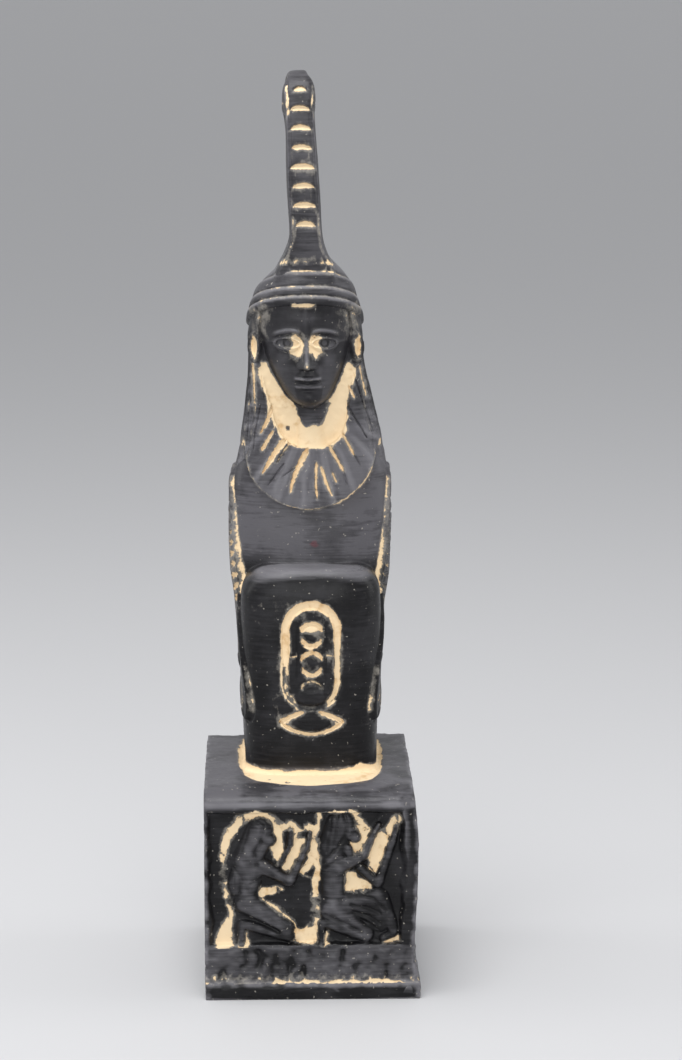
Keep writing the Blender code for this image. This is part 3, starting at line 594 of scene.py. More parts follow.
far = 999
frontWall = -figureBehind - plinthSizes["halfDeep"]
# opposite corners of the areas whose carving is fine: across, deep, high
fineAreas = {
    "head": ((-far, -far, 92), (far, 8, 151)),
    "bib": ((-far, -far, 76), (far, 6, 96)),
    "oval": ((-11.5, -far, 9), (11.5, -8, 54)),
    "left wing": ((-far, -11, 12), (-15, 12, 92)),
    "right wing": ((15, -11, 12), (far, 12, 92)),
    "feather": ((-far, -far, 151), (far, 1.5, far)),
    "plinth": ((-far, -far, 7 - plinthSizes["high"]), (far, frontWall + 2.2, -3)),
}


def between(points, low, high):
    return np.all((points > low) & (points < high), axis=1)


def refine(piece):
    # one more cut of the faces there
    mesh = piece.data
    at = inFigure(readRows(mesh.polygons, "center"))
    fine = np.any([between(at, low, high) for low, high in fineAreas.values()], axis=0)
    activate(piece)
    bpy.context.tool_settings.mesh_select_mode = (False, False, True)
    mesh.vertices.foreach_set("select", np.zeros(len(mesh.vertices), bool))
    mesh.edges.foreach_set("select", np.zeros(len(mesh.edges), bool))
    mesh.polygons.foreach_set("select", fine)
    subdivide(1)


refine(statue)
applyModifier(statue, "SMOOTH", factor=statueSettings["smoothing"],
              iterations=statueSettings["smoothRounds"])
print("refined", len(statue.data.polygons), "faces")


class Skin:
    # the statue's points in figure millimetres, how far each is cut, and what paint it gets

    def __init__(self, piece):
        self.piece = piece
        self.at = readPoints(piece)
        self.out = readRows(piece.data.vertex_normals, "vector").astype(float)
        self.wash = np.full(len(self.at), -4.0)
        # grey on the paint: rubbed wear, and painted highlight and sheen
        self.sheenAndWear = np.zeros(len(self.at))

    def stain(self, chosen, amount):
        # paint worn off to the pale stone: millimetres inside the edge of the bare patch
        self.wash[chosen] = np.maximum(self.wash[chosen], amount)

    def paintWearAndHighlight(self, chosen, amount):
        # how much the paint is turned grey, as a share: rubbed wear, and painted highlight and sheen
        self.sheenAndWear[chosen] = np.maximum(self.sheenAndWear[chosen], amount)

    def within(self, low, high):
        return np.flatnonzero(between(self.at, low, high))

    def unstain(self, chosen, amount):
        self.wash[chosen] = np.minimum(self.wash[chosen], amount)


def polyline(u, v, points):
    # distance to a line through points, and how far along it the nearest place is
    points = np.array(points, float)
    steps = np.diff(points, axis=0)
    lengths = np.hypot(steps[:, 0], steps[:, 1])
    before = np.concatenate(([0], np.cumsum(lengths)))
    best = np.full(len(u), 1e9)
    along = np.zeros(len(u))
    for start, step, length, passed in zip(points, steps, lengths, before):
        t = np.clip(((u - start[0]) * step[0] + (v - start[1]) * step[1]) / length**2, 0, 1)
        distance = np.hypot(u - start[0] - t * step[0], v - start[1] - t * step[1])
        nearer = distance < best
        best = np.where(nearer, distance, best)
        along = np.where(nearer, (passed + t * length) / before[-1], along)
    return best, along


def insideOf(u, v, outline):
    # millimetres inside a closed outline, negative outside it
    rows = np.array(outline, float)
    closed = np.vstack((rows, rows[:1]))
    distance = polyline(u, v, closed)[0]
    inside = np.zeros(len(u), bool)
    for (u0, v0), (u1, v1) in zip(closed[:-1], closed[1:]):
        crosses = (v0 > v) != (v1 > v)
        if v1 != v0:
            inside ^= crosses & (u < u0 + (v - v0) * (u1 - u0) / (v1 - v0))
    return np.where(inside, distance, -distance)


def lumps(at, size, seed):
    # slow uneven waves, as hand finishing leaves them; from -1 to 1 or so
    chance = np.random.default_rng(seed)
    total = np.zeros(len(at))
    for _ in range(7):
        way = chance.normal(size=3)
        way /= np.linalg.norm(way)
        total += np.sin(at @ way * (2 * math.pi / size) * chance.uniform(0.7, 1.4) + chance.uniform(0, 6.3))
    return total / 3.2


def unevenness(at, *waves):
    # several kinds of lumps at once: amount, size, seed
    return sum(amount * lumps(at, size, seed) for amount, size, seed in waves)


def cutStroke(skin, chosen, u, v, push, stroke):
    # stroke: points, width at its start and end, depth, share of the width that is bare
    points, widths, depth, bare = stroke
    box = np.array(points)
    reach = max(widths) + 0.5
    near = (u > box[:, 0].min() - reach) & (u < box[:, 0].max() + reach)
    near &= (v > box[:, 1].min() - reach) & (v < box[:, 1].max() + reach)
    chosen, u, v = chosen[near], u[near], v[near]
    distance, along = polyline(u, v, points)
    half = (widths[0] + (widths[1] - widths[0]) * along) / 2
    ends = plateau(along, -0.06, 0.16, 0.80, 1.10)
    ragged = half * (0.35 + 0.65 * ends) * (1 + 0.20 * lumps(skin.at[chosen], 1.7, 9))
    depthHere = depth * smoothStep(0, 1, (ragged - distance) / (0.55 * ragged + 0.1))
    skin.at[chosen] += depthHere[:, None] * push
    if bare > 0:
        skin.stain(chosen, ragged * bare - distance)


print("carving the head")


def ringLevel(y, z):
    # height at the front of the sloping ring that passes through each point
    level = z.copy()
    for _ in range(8):
        level = z - hairSizes["bandSlope"] * (y - section("hair", level)[1])
    return level


def hairShell(x, y, z):
    # about 0 on the hair's own surface, in millimetres
    half, front, back, power = section("hair", z)
    radial = (np.abs(x) / half) ** power + (np.abs(y - (front + back) / 2) / ((back - front) / 2)) ** power
    return (radial ** (1 / power) - 1) * half


def carveBands(skin):
    x, y, z = skin.at.T
    level = ringLevel(y, z)
    chosen = np.flatnonzero((z > 122) & (z < 156) & (np.abs(hairShell(x, y, z)) < 1.4) & (level > 137.5)
                            & ((z < 149) | (np.abs(x) > 6)))
    level = level[chosen]
    grow = np.zeros(len(chosen))
    edges = hairSizes["bandEdges"]
    for (edge, below, above), following in zip(edges, edges[1:] + ((154, 0, 0),)):
        grow += (above - below) * smoothStep(edge - 0.22, edge + 0.12, level)
        share = np.clip((level - edge) / (following[0] - edge), 0, 1)
        if edge < 148:
            grow += 0.16 * np.sin(math.pi * share) * (share > 0) * (share < 1)
            grow -= 0.30 * bell(level, edge + 0.20, 0.20) * (edge > 139.5)
    outward = skin.out[chosen].copy()
    around = skin.at[chosen] - (0, 10.5, 0)
    facing = outward[:, 0] * around[:, 0] + outward[:, 1] * around[:, 1]
    facing = facing / np.hypot(around[:, 0], around[:, 1])
    grow *= smoothStep(0.05, 0.45, facing + np.clip(outward[:, 2], 0, 1))
    outward[:, 2] *= 0.4
    skin.at[chosen] += outward * grow[:, None]
    x, y, z = skin.at[chosen].T
    patchy = lumps(skin.at[chosen], 5.0, 3)
    fine = lumps(skin.at[chosen], 1.8, 4)
    front = y < 9
    middle = smoothStep(9.5, 7.0, np.abs(x + 0.4))
    skin.stain(chosen, np.where(front, 0.26 * middle + 0.24 * patchy + 0.12 * fine - 0.08
                                - np.abs(level - edges[3][0] - 0.1), -1))
    # grey along the top of the band under each edge, strongest at the edge: partly rubbed wear, partly
    # painted highlight
    for edge in edges[1:]:
        wide = smoothStep(edge[0] - 2.6, edge[0] - 0.6, level)
        skin.paintWearAndHighlight(chosen, 0.9 * bell(level, edge[0] - 0.45, 0.35) + 0.25 * wide * (level < edge[0]))
    # painted sheen in grey over the crown above the last band
    skin.paintWearAndHighlight(chosen, 0.55 * smoothStep(148.6, 150.0, level))
    crown = np.hypot(x + 0.6, (level - 150.9) * 1.6)
    skin.stain(chosen, np.where(front, 0.25 + 0.4 * patchy + 0.35 * fine - np.abs(crown - 2.2) * 0.5, -1))
    for edge, strength in ((edges[2][0], -0.06), (edges[1][0], -0.10)):
        skin.stain(chosen, np.where(front, strength + 0.15 * patchy + 0.10 * fine
                                    - np.abs(level - edge + 0.12), -1))


def faceRelief(x, t):
    # how far the features stand out of the plain oval
    s = faceSizes
    side = np.abs(x)
    run = np.clip((0.69 - t) / (0.69 - s["noseShare"]), 0, 1)
    above = smoothStep(s["noseShare"] - 0.022, s["noseShare"] + 0.012, t)
    relief = (0.45 + 2.5 * run**1.2) * np.exp(-(side / (1.15 + 0.75 * run**2)) ** 2.4) * above
    relief += 0.45 * bell(side, 0, 1.5) * bell(t, s["noseShare"] + 0.045, 0.035)
    relief += 1.05 * bell(side, 2.25, 0.85) * bell(t, s["noseShare"] + 0.030, 0.030) * above
    relief -= 0.7 * bell(side, 1.15, 0.5) * bell(t, s["noseShare"] - 0.008, 0.013)
    relief -= 0.35 * bell(side, 3.5, 0.8) * bell(t, s["noseShare"] + 0.02, 0.05)
    u, v = side - s["eyeAcross"], (t - s["eyeShare"]) * faceTall
    relief -= 1.5 * bell(side, 4.3, 3.1) * bell(v, 0.5, 2.1)
    relief -= 0.5 * bell(side, 2.7, 1.1) * bell(v, -0.2, 2.6)
    relief += 1.60 * np.sqrt(np.clip(1 - (u / 3.9) ** 2 - (v / 2.7) ** 2, 0, 1))
    tilted = v - 0.05 * u
    opening = np.hypot(u / 3.3, tilted / np.where(tilted > 0, 1.45, 1.2))
    relief -= 0.42 * smoothStep(1.04, 0.90, opening)
    relief += 0.52 * bell(opening, 1.15, 0.14) * np.where(tilted > 0, 1, 0.7)
    iris = np.hypot(u + 0.1, v - 0.1)
    relief -= 0.32 * bell(iris, 1.1, 0.20) * (opening < 1)
    relief -= 0.36 * bell(iris, 0.0, 0.42)
    line = (v - 0.15) - 0.05 * (u - 3)
    relief += 0.32 * bell(line, 0, 0.30) * plateau(u, 2.7, 3.4, 5.6, 6.4)
    brow = t - s["browShare"] + 0.0020 * (side - 4.8) ** 2
    relief += 0.80 * bell(brow, 0, 0.022) * plateau(side, 1.4, 2.3, 8.8, 10.2)
    underBrow = bell(t, s["browShare"] - 0.045 - 0.0016 * (side - 4.8) ** 2, 0.012)
    relief -= 0.25 * underBrow * bell(side, 5.4, 3.2)
    mouth = s["mouthShare"]
    width = np.clip(1 - (side / s["mouthHalf"]) ** 2, 0, 1)
    upperLip = mouth + 0.031 - 0.007 * bell(side, 0, 0.7) + 0.003 * side / 4
    relief += 1.15 * width**0.7 * bell(t, upperLip, 0.021)
    relief += 1.25 * np.clip(1 - (side / 3.7) ** 2, 0, 1) ** 0.7 * bell(t, mouth - 0.033, 0.025)
    relief += 0.5 * bell(side, 0, 4.5) * bell(t, mouth, 0.08)
    relief -= 0.62 * width**0.5 * bell(t, mouth + 0.002 + 0.006 * (side / 4) ** 2, 0.0085)
    relief -= 0.45 * bell(side, s["mouthHalf"] + 0.2, 0.55) * bell(t, mouth + 0.004, 0.018)
    for amount, across, wide, level, tall in s["mounds"]:
        relief += amount * bell(side, across, wide) * bell(t, level, tall)
    return relief


def carveFace(skin):
    s = faceSizes
    x, y, z = skin.at.T
    t = (z - s["chin"]) / faceTall
    half = faceHalf(t)
    inside = (t > -0.05) & (t < 1.01) & (np.abs(x) < half * 0.995)
    chosen = np.flatnonzero(inside & (np.abs(y - faceDepth(x, t)) < 1.3))
    x, t, half = x[chosen], t[chosen], half[chosen]
    turn = np.sqrt(np.clip(1 - (x / half) ** 2, 0, 1))
    target = faceDepth(x, t) - faceRelief(x, t) * turn**0.6 * smoothStep(-0.05, 0.0, t)
    sure = smoothStep(0.985, 0.90, np.abs(x) / half) * smoothStep(1.01, 0.97, t)
    skin.at[chosen, 1] += (target - skin.at[chosen, 1]) * sure
    side = np.abs(x)
    v = (t - s["eyeShare"]) * faceTall
    corner = 1.5 - np.hypot((side - 2.9) / 1.45, (v + 0.7) / 2.1) + 0.3 * lumps(skin.at[chosen], 1.8, 13)
    ball = np.hypot((side - s["eyeAcross"] + 0.1) / 1.75, (v - 0.1) / 1.5)
    skin.stain(chosen, np.minimum(corner, (ball - 1.0) * 1.6))
    # painted highlights: the brows, lips, nose ridge, eyelids and eyes, cheeks, forehead and chin are
    # painted grey
    brow = bell(t - s["browShare"] + 0.0020 * (side - 4.8) ** 2, 0, 0.020)
    brow = brow * plateau(side, 1.2, 2.4, 8.0, 10.2)
    lips = bell(t, s["mouthShare"] + 0.040, 0.012) + bell(t, s["mouthShare"] - 0.046, 0.014)
    nose = bell(side, 0, 0.7) * plateau(t, s["noseShare"], s["noseShare"] + 0.06, 0.62, 0.70)
    lids = bell(np.hypot((side - s["eyeAcross"]) / 3.3, v / 1.4), 1.16, 0.12)
    cheeks = 0.45 * bell(side, 7.0, 2.8) * bell(t, 0.44, 0.12)
    cheeks = cheeks + 0.32 * bell(side, 0, 6.5) * bell(t, 0.87, 0.08)
    opening = np.hypot((side - s["eyeAcross"]) / 3.3, v / 1.35)
    iris = np.hypot(side - s["eyeAcross"] + 0.1, v - 0.1)
    lids += 0.6 * smoothStep(0.98, 0.80, opening) * (1 - bell(iris, 1.1, 0.35))
    wearAndHighlight = 0.95 * brow + 0.95 * lips * (side < 3.9) + 0.75 * nose + 0.80 * lids + cheeks
    skin.paintWearAndHighlight(chosen, np.clip(wearAndHighlight + 0.15 * bell(t, 0.06, 0.05) * bell(side, 0, 3.0), 0, 0.9) * turn)
    skin.stain(chosen, np.minimum(0.65 - np.abs(z[chosen] - s["top"] + 0.3), 3.3 - np.abs(x + 0.7)))
    tip = t - s["noseShare"] - 0.035
    skin.stain(chosen, 0.35 - np.hypot(x, tip * 20))


def carveTrench(skin):
    # bare stone in a broad U round the neck, in the ears' hollows and as dust on the temples
    chosen = skin.within((-15.5, -2.5, 93), (15.5, 9, 124))
    x, y, z = skin.at[chosen].T
    uneven = lumps(skin.at[chosen], 4.0, 11) + 0.5 * lumps(skin.at[chosen], 1.5, 12)
    edge = insideOf(x + 1.3 * bell(z, 110, 5) * (x > 0), z, faceOpening()) + 0.35 + 0.35 * uneven
    share = (z - faceSizes["chin"]) / faceTall
    besideFace = np.where(share > -0.06, np.abs(x) - faceHalf(share) - 0.1, 9)
    neckHalf = np.clip(3.2 + 0.36 * (z - 102.5), 0, 5.4)
    neck = neckHalf + 0.45 * uneven - np.abs(x - 0.4)
    below = 102.3 + 0.5 * uneven - z
    inU = np.minimum(np.minimum(edge, besideFace), np.maximum(-neck, below))
    inU = np.minimum(inU, (120.2 + 0.8 * uneven - z) * 0.8)
    skin.stain(chosen, inU)
    pit = 0.95 - np.hypot((x + 6.9) / 0.9, (z - 101.2) / 1.3) + 0.12 * uneven
    skin.at[chosen, 1] += 0.12 * uneven * (inU > 0.3) + 0.7 * smoothStep(0.0, 0.7, pit)
    skin.unstain(chosen, np.where(pit > 0, 0.10 - 0.5 * pit, 9))
    for side in (-1, 1):
        x, y, z = skin.at.T
        ear = np.flatnonzero((z > 119) & (z < 132) & (np.abs(x * side - 15.2) < 3) & (y > -2) & (y < 6))
        turned = (skin.at[ear, 0] * side - 15.1) + 0.35 * (skin.at[ear, 1] - 2.9)
        hollow = 1 - np.hypot(turned / 1.35, (skin.at[ear, 2] - 125.6) / 3.2)
        skin.at[ear, 1] += 0.9 * smoothStep(0, 0.6, hollow)
        skin.stain(ear, hollow * 1.4 + 0.25 * lumps(skin.at[ear], 2.0, 5))
        temple = np.flatnonzero((z > 127) & (z < 139) & (x * side > 8) & (x * side < 16.5) & (y < 6))
        tx, tz = skin.at[temple, 0] * side, skin.at[temple, 2]
        away = np.hypot((tx - 13.4) / 2.3, (tz - 134.2) / 4.0)
        dust = 0.16 - 0.50 * away + 0.25 * lumps(skin.at[temple], 2.2, 6)
        skin.stain(temple, np.minimum(dust, -0.14))


# Strokes on the bib and down the sides of the hair, from the photograph: points, widths, depth, bare share.
bibStrokes = (
    (((-15.8, 121.0), (-16.0, 114.0), (-16.5, 107.6)), (1.0, 0.5), 0.7, 0.9),
    (((-10.6, 108.6), (-12.6, 104.2), (-15.0, 99.8)), (1.7, 0.8), 1.0, 1.0),
    (((-11.3, 100.6), (-14.8, 94.8)), (0.9, 1.5), 0.8, 0.9),
    (((-7.6, 98.6), (-11.2, 93.8), (-14.4, 88.2)), (2.1, 1.0), 1.1, 1.0),
    (((-6.0, 97.6), (-8.4, 94.4), (-10.2, 91.4)), (1.6, 1.0), 1.0, 0.25),
    (((-8.2, 91.0), (-12.6, 84.6)), (0.9, 0.5), 0.6, 0.0),
    (((-1.3, 95.4), (-3.4, 91.0), (-4.8, 88.0), (-5.9, 82.6)), (2.2, 0.9), 1.1, 0.95),
    (((-4.6, 90.0), (-8.6, 87.2)), (0.7, 0.4), 0.5, 0.0),
    (((1.4, 91.4), (1.5, 86.0), (2.0, 80.8)), (1.1, 0.8), 0.9, 0.8),
    (((2.9, 90.1), (4.4, 86.0), (6.3, 81.8)), (1.0, 0.9), 0.9, 0.9),
    (((5.0, 96.6), (7.2, 92.6), (9.6, 88.6)), (1.1, 1.0), 0.9, 0.9),
    (((9.6, 88.6), (10.9, 84.6)), (0.8, 0.5), 0.6, 0.0),
    (((6.2, 88.4), (7.7, 85.4)), (0.9, 0.6), 0.7, 0.7),
    (((8.7, 101.2), (10.3, 97.6), (12.5, 93.4)), (0.9, 0.9), 0.8, 0.8),
    (((12.5, 93.4), (14.4, 90.2)), (0.7, 0.4), 0.6, 0.0),
    (((11.0, 108.4), (13.4, 103.6), (16.6, 98.0)), (0.9, 0.7), 0.8, 0.0),
    (((11.9, 114.0), (12.6, 112.2), (13.3, 110.4)), (0.9, 0.6), 0.7, 0.9),
    (((15.6, 120.0), (16.2, 115.0), (16.9, 110.6)), (0.8, 0.5), 0.6, 0.75),
    (((13.6, 117.6), (15.6, 109.0), (18.4, 100.0)), (0.8, 0.6), 0.5, 0.0),
    (((-13.6, 117.0), (-13.4, 110.0)), (0.7, 0.5), 0.5, 0.0),
    (((-17.2, 116.0), (-18.2, 106.0), (-19.2, 97.0)), (0.8, 0.6), 0.5, 0.0),
    (((-14.6, 108.0), (-16.6, 100.0), (-17.4, 94.6)), (0.7, 0.5), 0.5, 0.0),
)


def carveHair(skin):
    x, y, z = skin.at.T
    shell = hairShell(x, y, z)
    centre, across, down = hairSizes["hem"]
    front = np.flatnonzero((z > 77) & (z < 121) & (np.abs(shell) < 1.6) & (skin.out[:, 1] < -0.25))
    for stroke in bibStrokes:
        cutStroke(skin, front, skin.at[front, 0], skin.at[front, 2], np.array((0, 1, 0)), stroke)
    fan = np.arctan2(x[front], 111 - z[front])
    reach = np.hypot(x[front], 111 - z[front])
    ridges = 0.24 * np.sin(fan * 24 + 0.7 * lumps(skin.at[front], 9.0, 2))
    ridges = ridges + 0.09 * np.sin(fan * 61 + 0.1 * reach)
    skin.at[front, 1] += ridges * smoothStep(14, 19, reach)
    # painted sheen: the bib is painted grey, more on its raised rays
    skin.paintWearAndHighlight(front, 0.30 + 0.55 * np.clip(-3.2 * ridges, 0, 1) * smoothStep(14, 19, reach))
    hemRun = np.hypot((x - hairSizes["hemAside"]) / across, (z - centre) / down)
    hemAway = (hemRun - 1) * (across + down) / 2
    foot = np.flatnonzero((z < centre) & (z > 75) & (hemAway > -0.9) & (hemAway < 1.2) & (y < 6))
    fx = x[foot]
    ragged = 0.25 * lumps(skin.at[foot], 3.0, 21)
    right = plateau(fx, 5, 9, 17.5, 19.5)
    low = plateau(fx, -4, -1.5, 2, 4)
    bare = np.maximum(right * 0.50, low * 0.35) + ragged * 0.5 - 0.15 - np.abs(hemAway[foot] - 0.15)
    skin.stain(foot, bare)
    skin.stain(foot, -0.05 + 0.4 * ragged - np.abs(hemAway[foot] + 0.1))
    sides = np.flatnonzero((z > 79) & (z < 134) & (np.abs(shell) < 1.4)
                           & ((skin.out[:, 1] > -0.25) | (np.abs(x) > 16)) & (z > centre - 22))
    half, sideFront, sideBack, _ = section("hair", z[sides])
    ahead = -(y[sides] - (sideFront + sideBack) / 2) / ((sideBack - sideFront) / 2)
    angle = np.arctan2(x[sides] / half, ahead)
    fade = smoothStep(133, 127, z[sides]) * smoothStep(0.65, 1.1, np.abs(angle))
    locks = np.abs(np.sin(angle * 13))
    strands = 0.5 * smoothStep(0.30, 0.0, locks) + 0.10 * np.sin(angle * 78 + 0.12 * z[sides])
    skin.at[sides] -= skin.out[sides] * (strands * fade)[:, None]
    deep = 0.16 - locks * 1.5 + 0.5 * lumps(skin.at[sides], 7.0, 8) - 0.45
    skin.stain(sides, np.where(fade > 0.5, deep, -1))


def carveShoulders(skin):
    x, y, z = skin.at.T
    chosen = np.flatnonzero((z > 91.5) & (z < 99) & (np.abs(x) > 17) & (y < 14) & (y > -2))
    cx, cz = skin.at[chosen, 0], skin.at[chosen, 2]
    away = np.hypot((np.abs(cx) - 20.4) / 0.8, (cz - 96.0) / 1.6)
    spot = 0.6 - away + 0.3 * lumps(skin.at[chosen], 2.5, 17)
    skin.stain(chosen, spot)


print("carving the body")

wingSizes = {
    # side view: shoulder, leading edge, tip by the shins, trailing edge
    "leading": ((13.0, 90.5), (11.0, 85.6), (7.9, 75), (6.5, 67.4), (5.7, 61.3), (4.6, 54.5),
                (-0.6, 45), (-5.2, 36)),
    "tip": ((-8.0, 27), (-9.0, 20), (-8.6, 15.5), (-6.2, 14.5)),
    "trailing": ((-0.5, 20), (8, 26), (16, 33), (22, 42), (25, 54), (25, 66), (22, 78), (17, 87)),
    "bars": 10,
    "firstBar": 79.0,
    "barStep": 3.17,
    "barHeights": (49, 54.5, 61.3, 67.4, 75, 85.6),
    "barStarts": (4.0, 4.6, 5.7, 6.5, 7.9, 11.0),
    "barInset": 1.1,
    "scaleRows": 5,
    "scaleColumns": 4,
    "feathers": 6,
}


def softOutline(rows, times=2):
    # an outline with its corners cut off again and again
    points = np.array(rows, float)
    for _ in range(times):
        following = np.roll(points, -1, axis=0)
        pairs = (0.75 * points + 0.25 * following, 0.25 * points + 0.75 * following)
        points = np.stack(pairs, axis=1).reshape(-1, 2)
    return points


def carveWings(skin):
    s = wingSizes
    outline = softOutline(s["leading"] + s["tip"] + s["trailing"])
    for side in (-1, 1):
        x, y, z = skin.at.T
        widest = np.maximum(widthAt("torso", y, z), np.where(z < 56, widthAt("knees", y, z), 0))
        chosen = np.flatnonzero((z > 11) & (z < 93) & (x * side > 14) & (x * side > widest - 1.6)
                                & ((z < 70) | (np.abs(hairShell(x, y, z)) > 0.5) | (z < 76)))
        u, v = y[chosen], z[chosen]
        inside = insideOf(u, v, outline)
        outward = np.zeros((len(chosen), 3))
        outward[:, 0] = side
        rise = bodyForms["wingRise"] * smoothStep(-0.15, 0.45, inside)
        rise -= 0.35 * bell(inside, -0.45, 0.4) * (u < 12)
        rise += 0.30 * bell(inside, 0.9, 0.6) * (u < 12)
        skin.at[chosen] += outward * rise[:, None]
        front = smoothStep(13, 10, u)
        upper = plateau(v, 50.5, 52.0, 85, 87.5)
        weight = 0.08 + 0.20 * smoothStep(80, 62, v)
        ragged = unevenness(skin.at[chosen], (0.22, 4.5, 31 + side), (0.10, 1.4, 33 + side))
        line = weight * front * upper - np.abs(inside + 0.10) + ragged * 0.45
        skin.stain(chosen, np.where(front * upper > 0.4, line, -1))
        lower = plateau(v, 17, 18.5, 30, 32.5) * (u < 0)
        skin.stain(chosen, np.where(lower > 0.3, 0.02 + ragged - np.abs(inside + 0.15), -1))
        push = np.array((-side, 0, 0))
        for i in range(s["bars"]):
            height = s["firstBar"] - s["barStep"] * i
            start = np.interp(height, s["barHeights"], s["barStarts"]) + s["barInset"]
            points = ((start, height), (start + 2.4, height - 0.8), (start + 5.6, height - 2.3))
            worn = (0.85 if side < 0 else 0.25) * (0.45 + 0.55 * min(i / 5, 1))
            cutStroke(skin, chosen, u, v, push, (points, (1.9, 2.1), 1.05, worn))
        hook = (((6.3, 50.6), (9.0, 48.9), (12.4, 47.6)), (1.5, 0.8), 0.8, 0.9 if side < 0 else 0.3)
        cutStroke(skin, chosen, u, v, push, hook)
        rail = (((15.2, 85.5), (14.2, 76), (13.0, 64), (12.0, 50)), (1.0, 1.0), 0.7, 0.3)
        cutStroke(skin, chosen, u, v, push, rail)
        for row in range(s["scaleRows"]):
            for column in range(s["scaleColumns"]):
                scaleY = 16.3 + 2.5 * column + 1.25 * (row % 2) - 0.6 * row
                scaleZ = 79.0 - 5.6 * row - 0.6 * column
                arc = [(scaleY + 1.3 * math.cos(a), scaleZ - 2.3 * math.sin(a))
                       for a in np.linspace(-0.2, math.pi + 0.2, 9)]
                if scaleY < 24.0:
                    cutStroke(skin, chosen, u, v, push, (arc, (0.7, 0.7), 0.5, 0.3))
        for i in range(s["feathers"]):
            share = i / (s["feathers"] - 1)
            topY, topZ = 9.0 + 12.5 * share, 46 + 6 * share
            tipY, tipZ = -6.3 + 24.3 * share, 20.5 + 19 * share**1.4
            run = np.linspace(0, 1, 9)
            belly = 2.0 * np.sin(math.pi * run)
            points = list(zip(topY + (tipY - topY) * run + belly, topZ + (tipZ - topZ) * run))
            cutStroke(skin, chosen, u, v, push, (points, (1.0, 1.0), 0.75, 0.35))
            quill = [(a + 2.1, b - 0.6) for a, b in points[:-1]]
            cutStroke(skin, chosen, u, v, push, (quill, (0.5, 0.4), 0.3, 0.0))
        loop = [(-3.6 + 1.0 * math.cos(a), 21.6 + 3.4 * math.sin(a))
                for a in np.linspace(0, 2 * math.pi, 19)]
        cutStroke(skin, chosen, u, v, push, (loop, (0.7, 0.7), 0.5, 0.5))


ovalSizes = {
    "half": 9.05, "low": 18.7, "high": 52.3,
    "innerHalf": 6.3, "innerLow": 21.0, "innerHigh": 49.3,
    "fieldHalf": 4.6, "fieldLow": 24.4, "fieldHigh": 46.4,
    "marks": 5,
    "deep": 1.0,
}


def stadium(u, v, half, low, high):
    # millimetres inside an upright oval
    middle = np.clip(v, low + half, high - half)
    return half - np.hypot(u, v - middle)


def arch(middle, height, reach, rise):
    # points of a round arch, opening downwards where rise is positive
    turn = np.linspace(0.12, math.pi - 0.12, 9)
    return list(zip(middle - reach * np.cos(turn), height + rise * (np.sin(turn) - 0.5)))


def carveKnees(skin):
    s = ovalSizes
    chosen = skin.within((-12, -far, 9), (12, -9.5, 55))
    u, v = skin.at[chosen, 0], skin.at[chosen, 2]
    outer = stadium(u, v, s["half"], s["low"], s["high"])
    inner = stadium(u, v, s["innerHalf"], s["innerLow"], s["innerHigh"])
    ragged = unevenness(skin.at[chosen], (0.16, 3.4, 41), (0.08, 1.3, 42))
    patchy = lumps(skin.at[chosen], 2.2, 43)
    left = smoothStep(0, -4, u) * plateau(v, 19, 22, 32, 36)
    right = smoothStep(2, 6, u) * smoothStep(44, 36, v)
    bottom = smoothStep(24, 21.5, v) * smoothStep(5.5, 3.0, np.abs(u))
    trough = np.minimum(outer - 0.25 * left, -inner)
    skin.at[chosen, 1] += s["deep"] * smoothStep(-0.1, 0.85, trough) * (1 - 0.3 * left - 0.4 * bottom)
    narrower = 0.10 + 0.42 * right + 0.25 * left
    bare = trough - narrower + ragged + left * (0.7 * patchy - 0.55) - 1.4 * bottom
    fringe = 0.28 + 0.3 * patchy - np.abs(outer - 0.2)
    skin.stain(chosen, np.maximum(bare, np.where((left > 0.4) | (v < 22.5), fringe - 0.9 * bottom, -1)))
    push = np.array((0, 1, 0))
    bed = stadium(u, v, s["fieldHalf"], s["fieldLow"], s["fieldHigh"])
    skin.at[chosen, 1] += 0.40 * smoothStep(-0.3, 0.8, bed)
    step = (s["fieldHigh"] - s["fieldLow"] - 4.6) / (s["marks"] - 1)
    for i in range(s["marks"]):
        height = s["fieldHigh"] - 2.4 - step * i
        rise = 2.3 * (-1) ** i
        points = arch(0.1, height, 3.0 - 0.3 * (i % 2), rise)
        cutStroke(skin, chosen, u, v, push, (points, (1.9, 1.5), 0.75, (1.0, 0.95, 0.85, 0.8, 0.25)[i]))
    cap = 1.1 - np.hypot((u - 0.1) / 1.9, (v - s["fieldHigh"] + 2.6) / 1.0) + 0.25 * patchy
    skin.stain(chosen, cap)
    for height, sign in ((35.6, -1), (35.9, 1)):
        tick = (((sign * 4.4, height), (sign * 6.5, height - 0.3)), (0.6, 0.5), 0.35, 0.5)
        cutStroke(skin, chosen, u, v, push, tick)
    across = np.linspace(-1, 1, 15)
    lower = 15.5 - 3.6 * (1 - (u / 9.4) ** 2)
    lowerWidth = 0.42 + 0.55 * np.clip(np.abs(u) / 9.4, 0, 1) ** 2
    cutStroke(skin, chosen, u, v, push, (list(zip(9.4 * across, 15.5 - 3.6 * (1 - across**2))),
                                         (1.3, 1.3), 0.8, 0.0))
    skin.stain(chosen, np.where(np.abs(u) < 9.2, lowerWidth + ragged * 0.8 - np.abs(v - lower), -1))
    for side in (-1, 1):
        upper = ((side * 9.4, 15.5), (side * 6.0, 17.3), (side * 2.4, 18.6))
        cutStroke(skin, chosen, u, v, push, (upper, (1.7, 1.4), 0.8, 0.95))


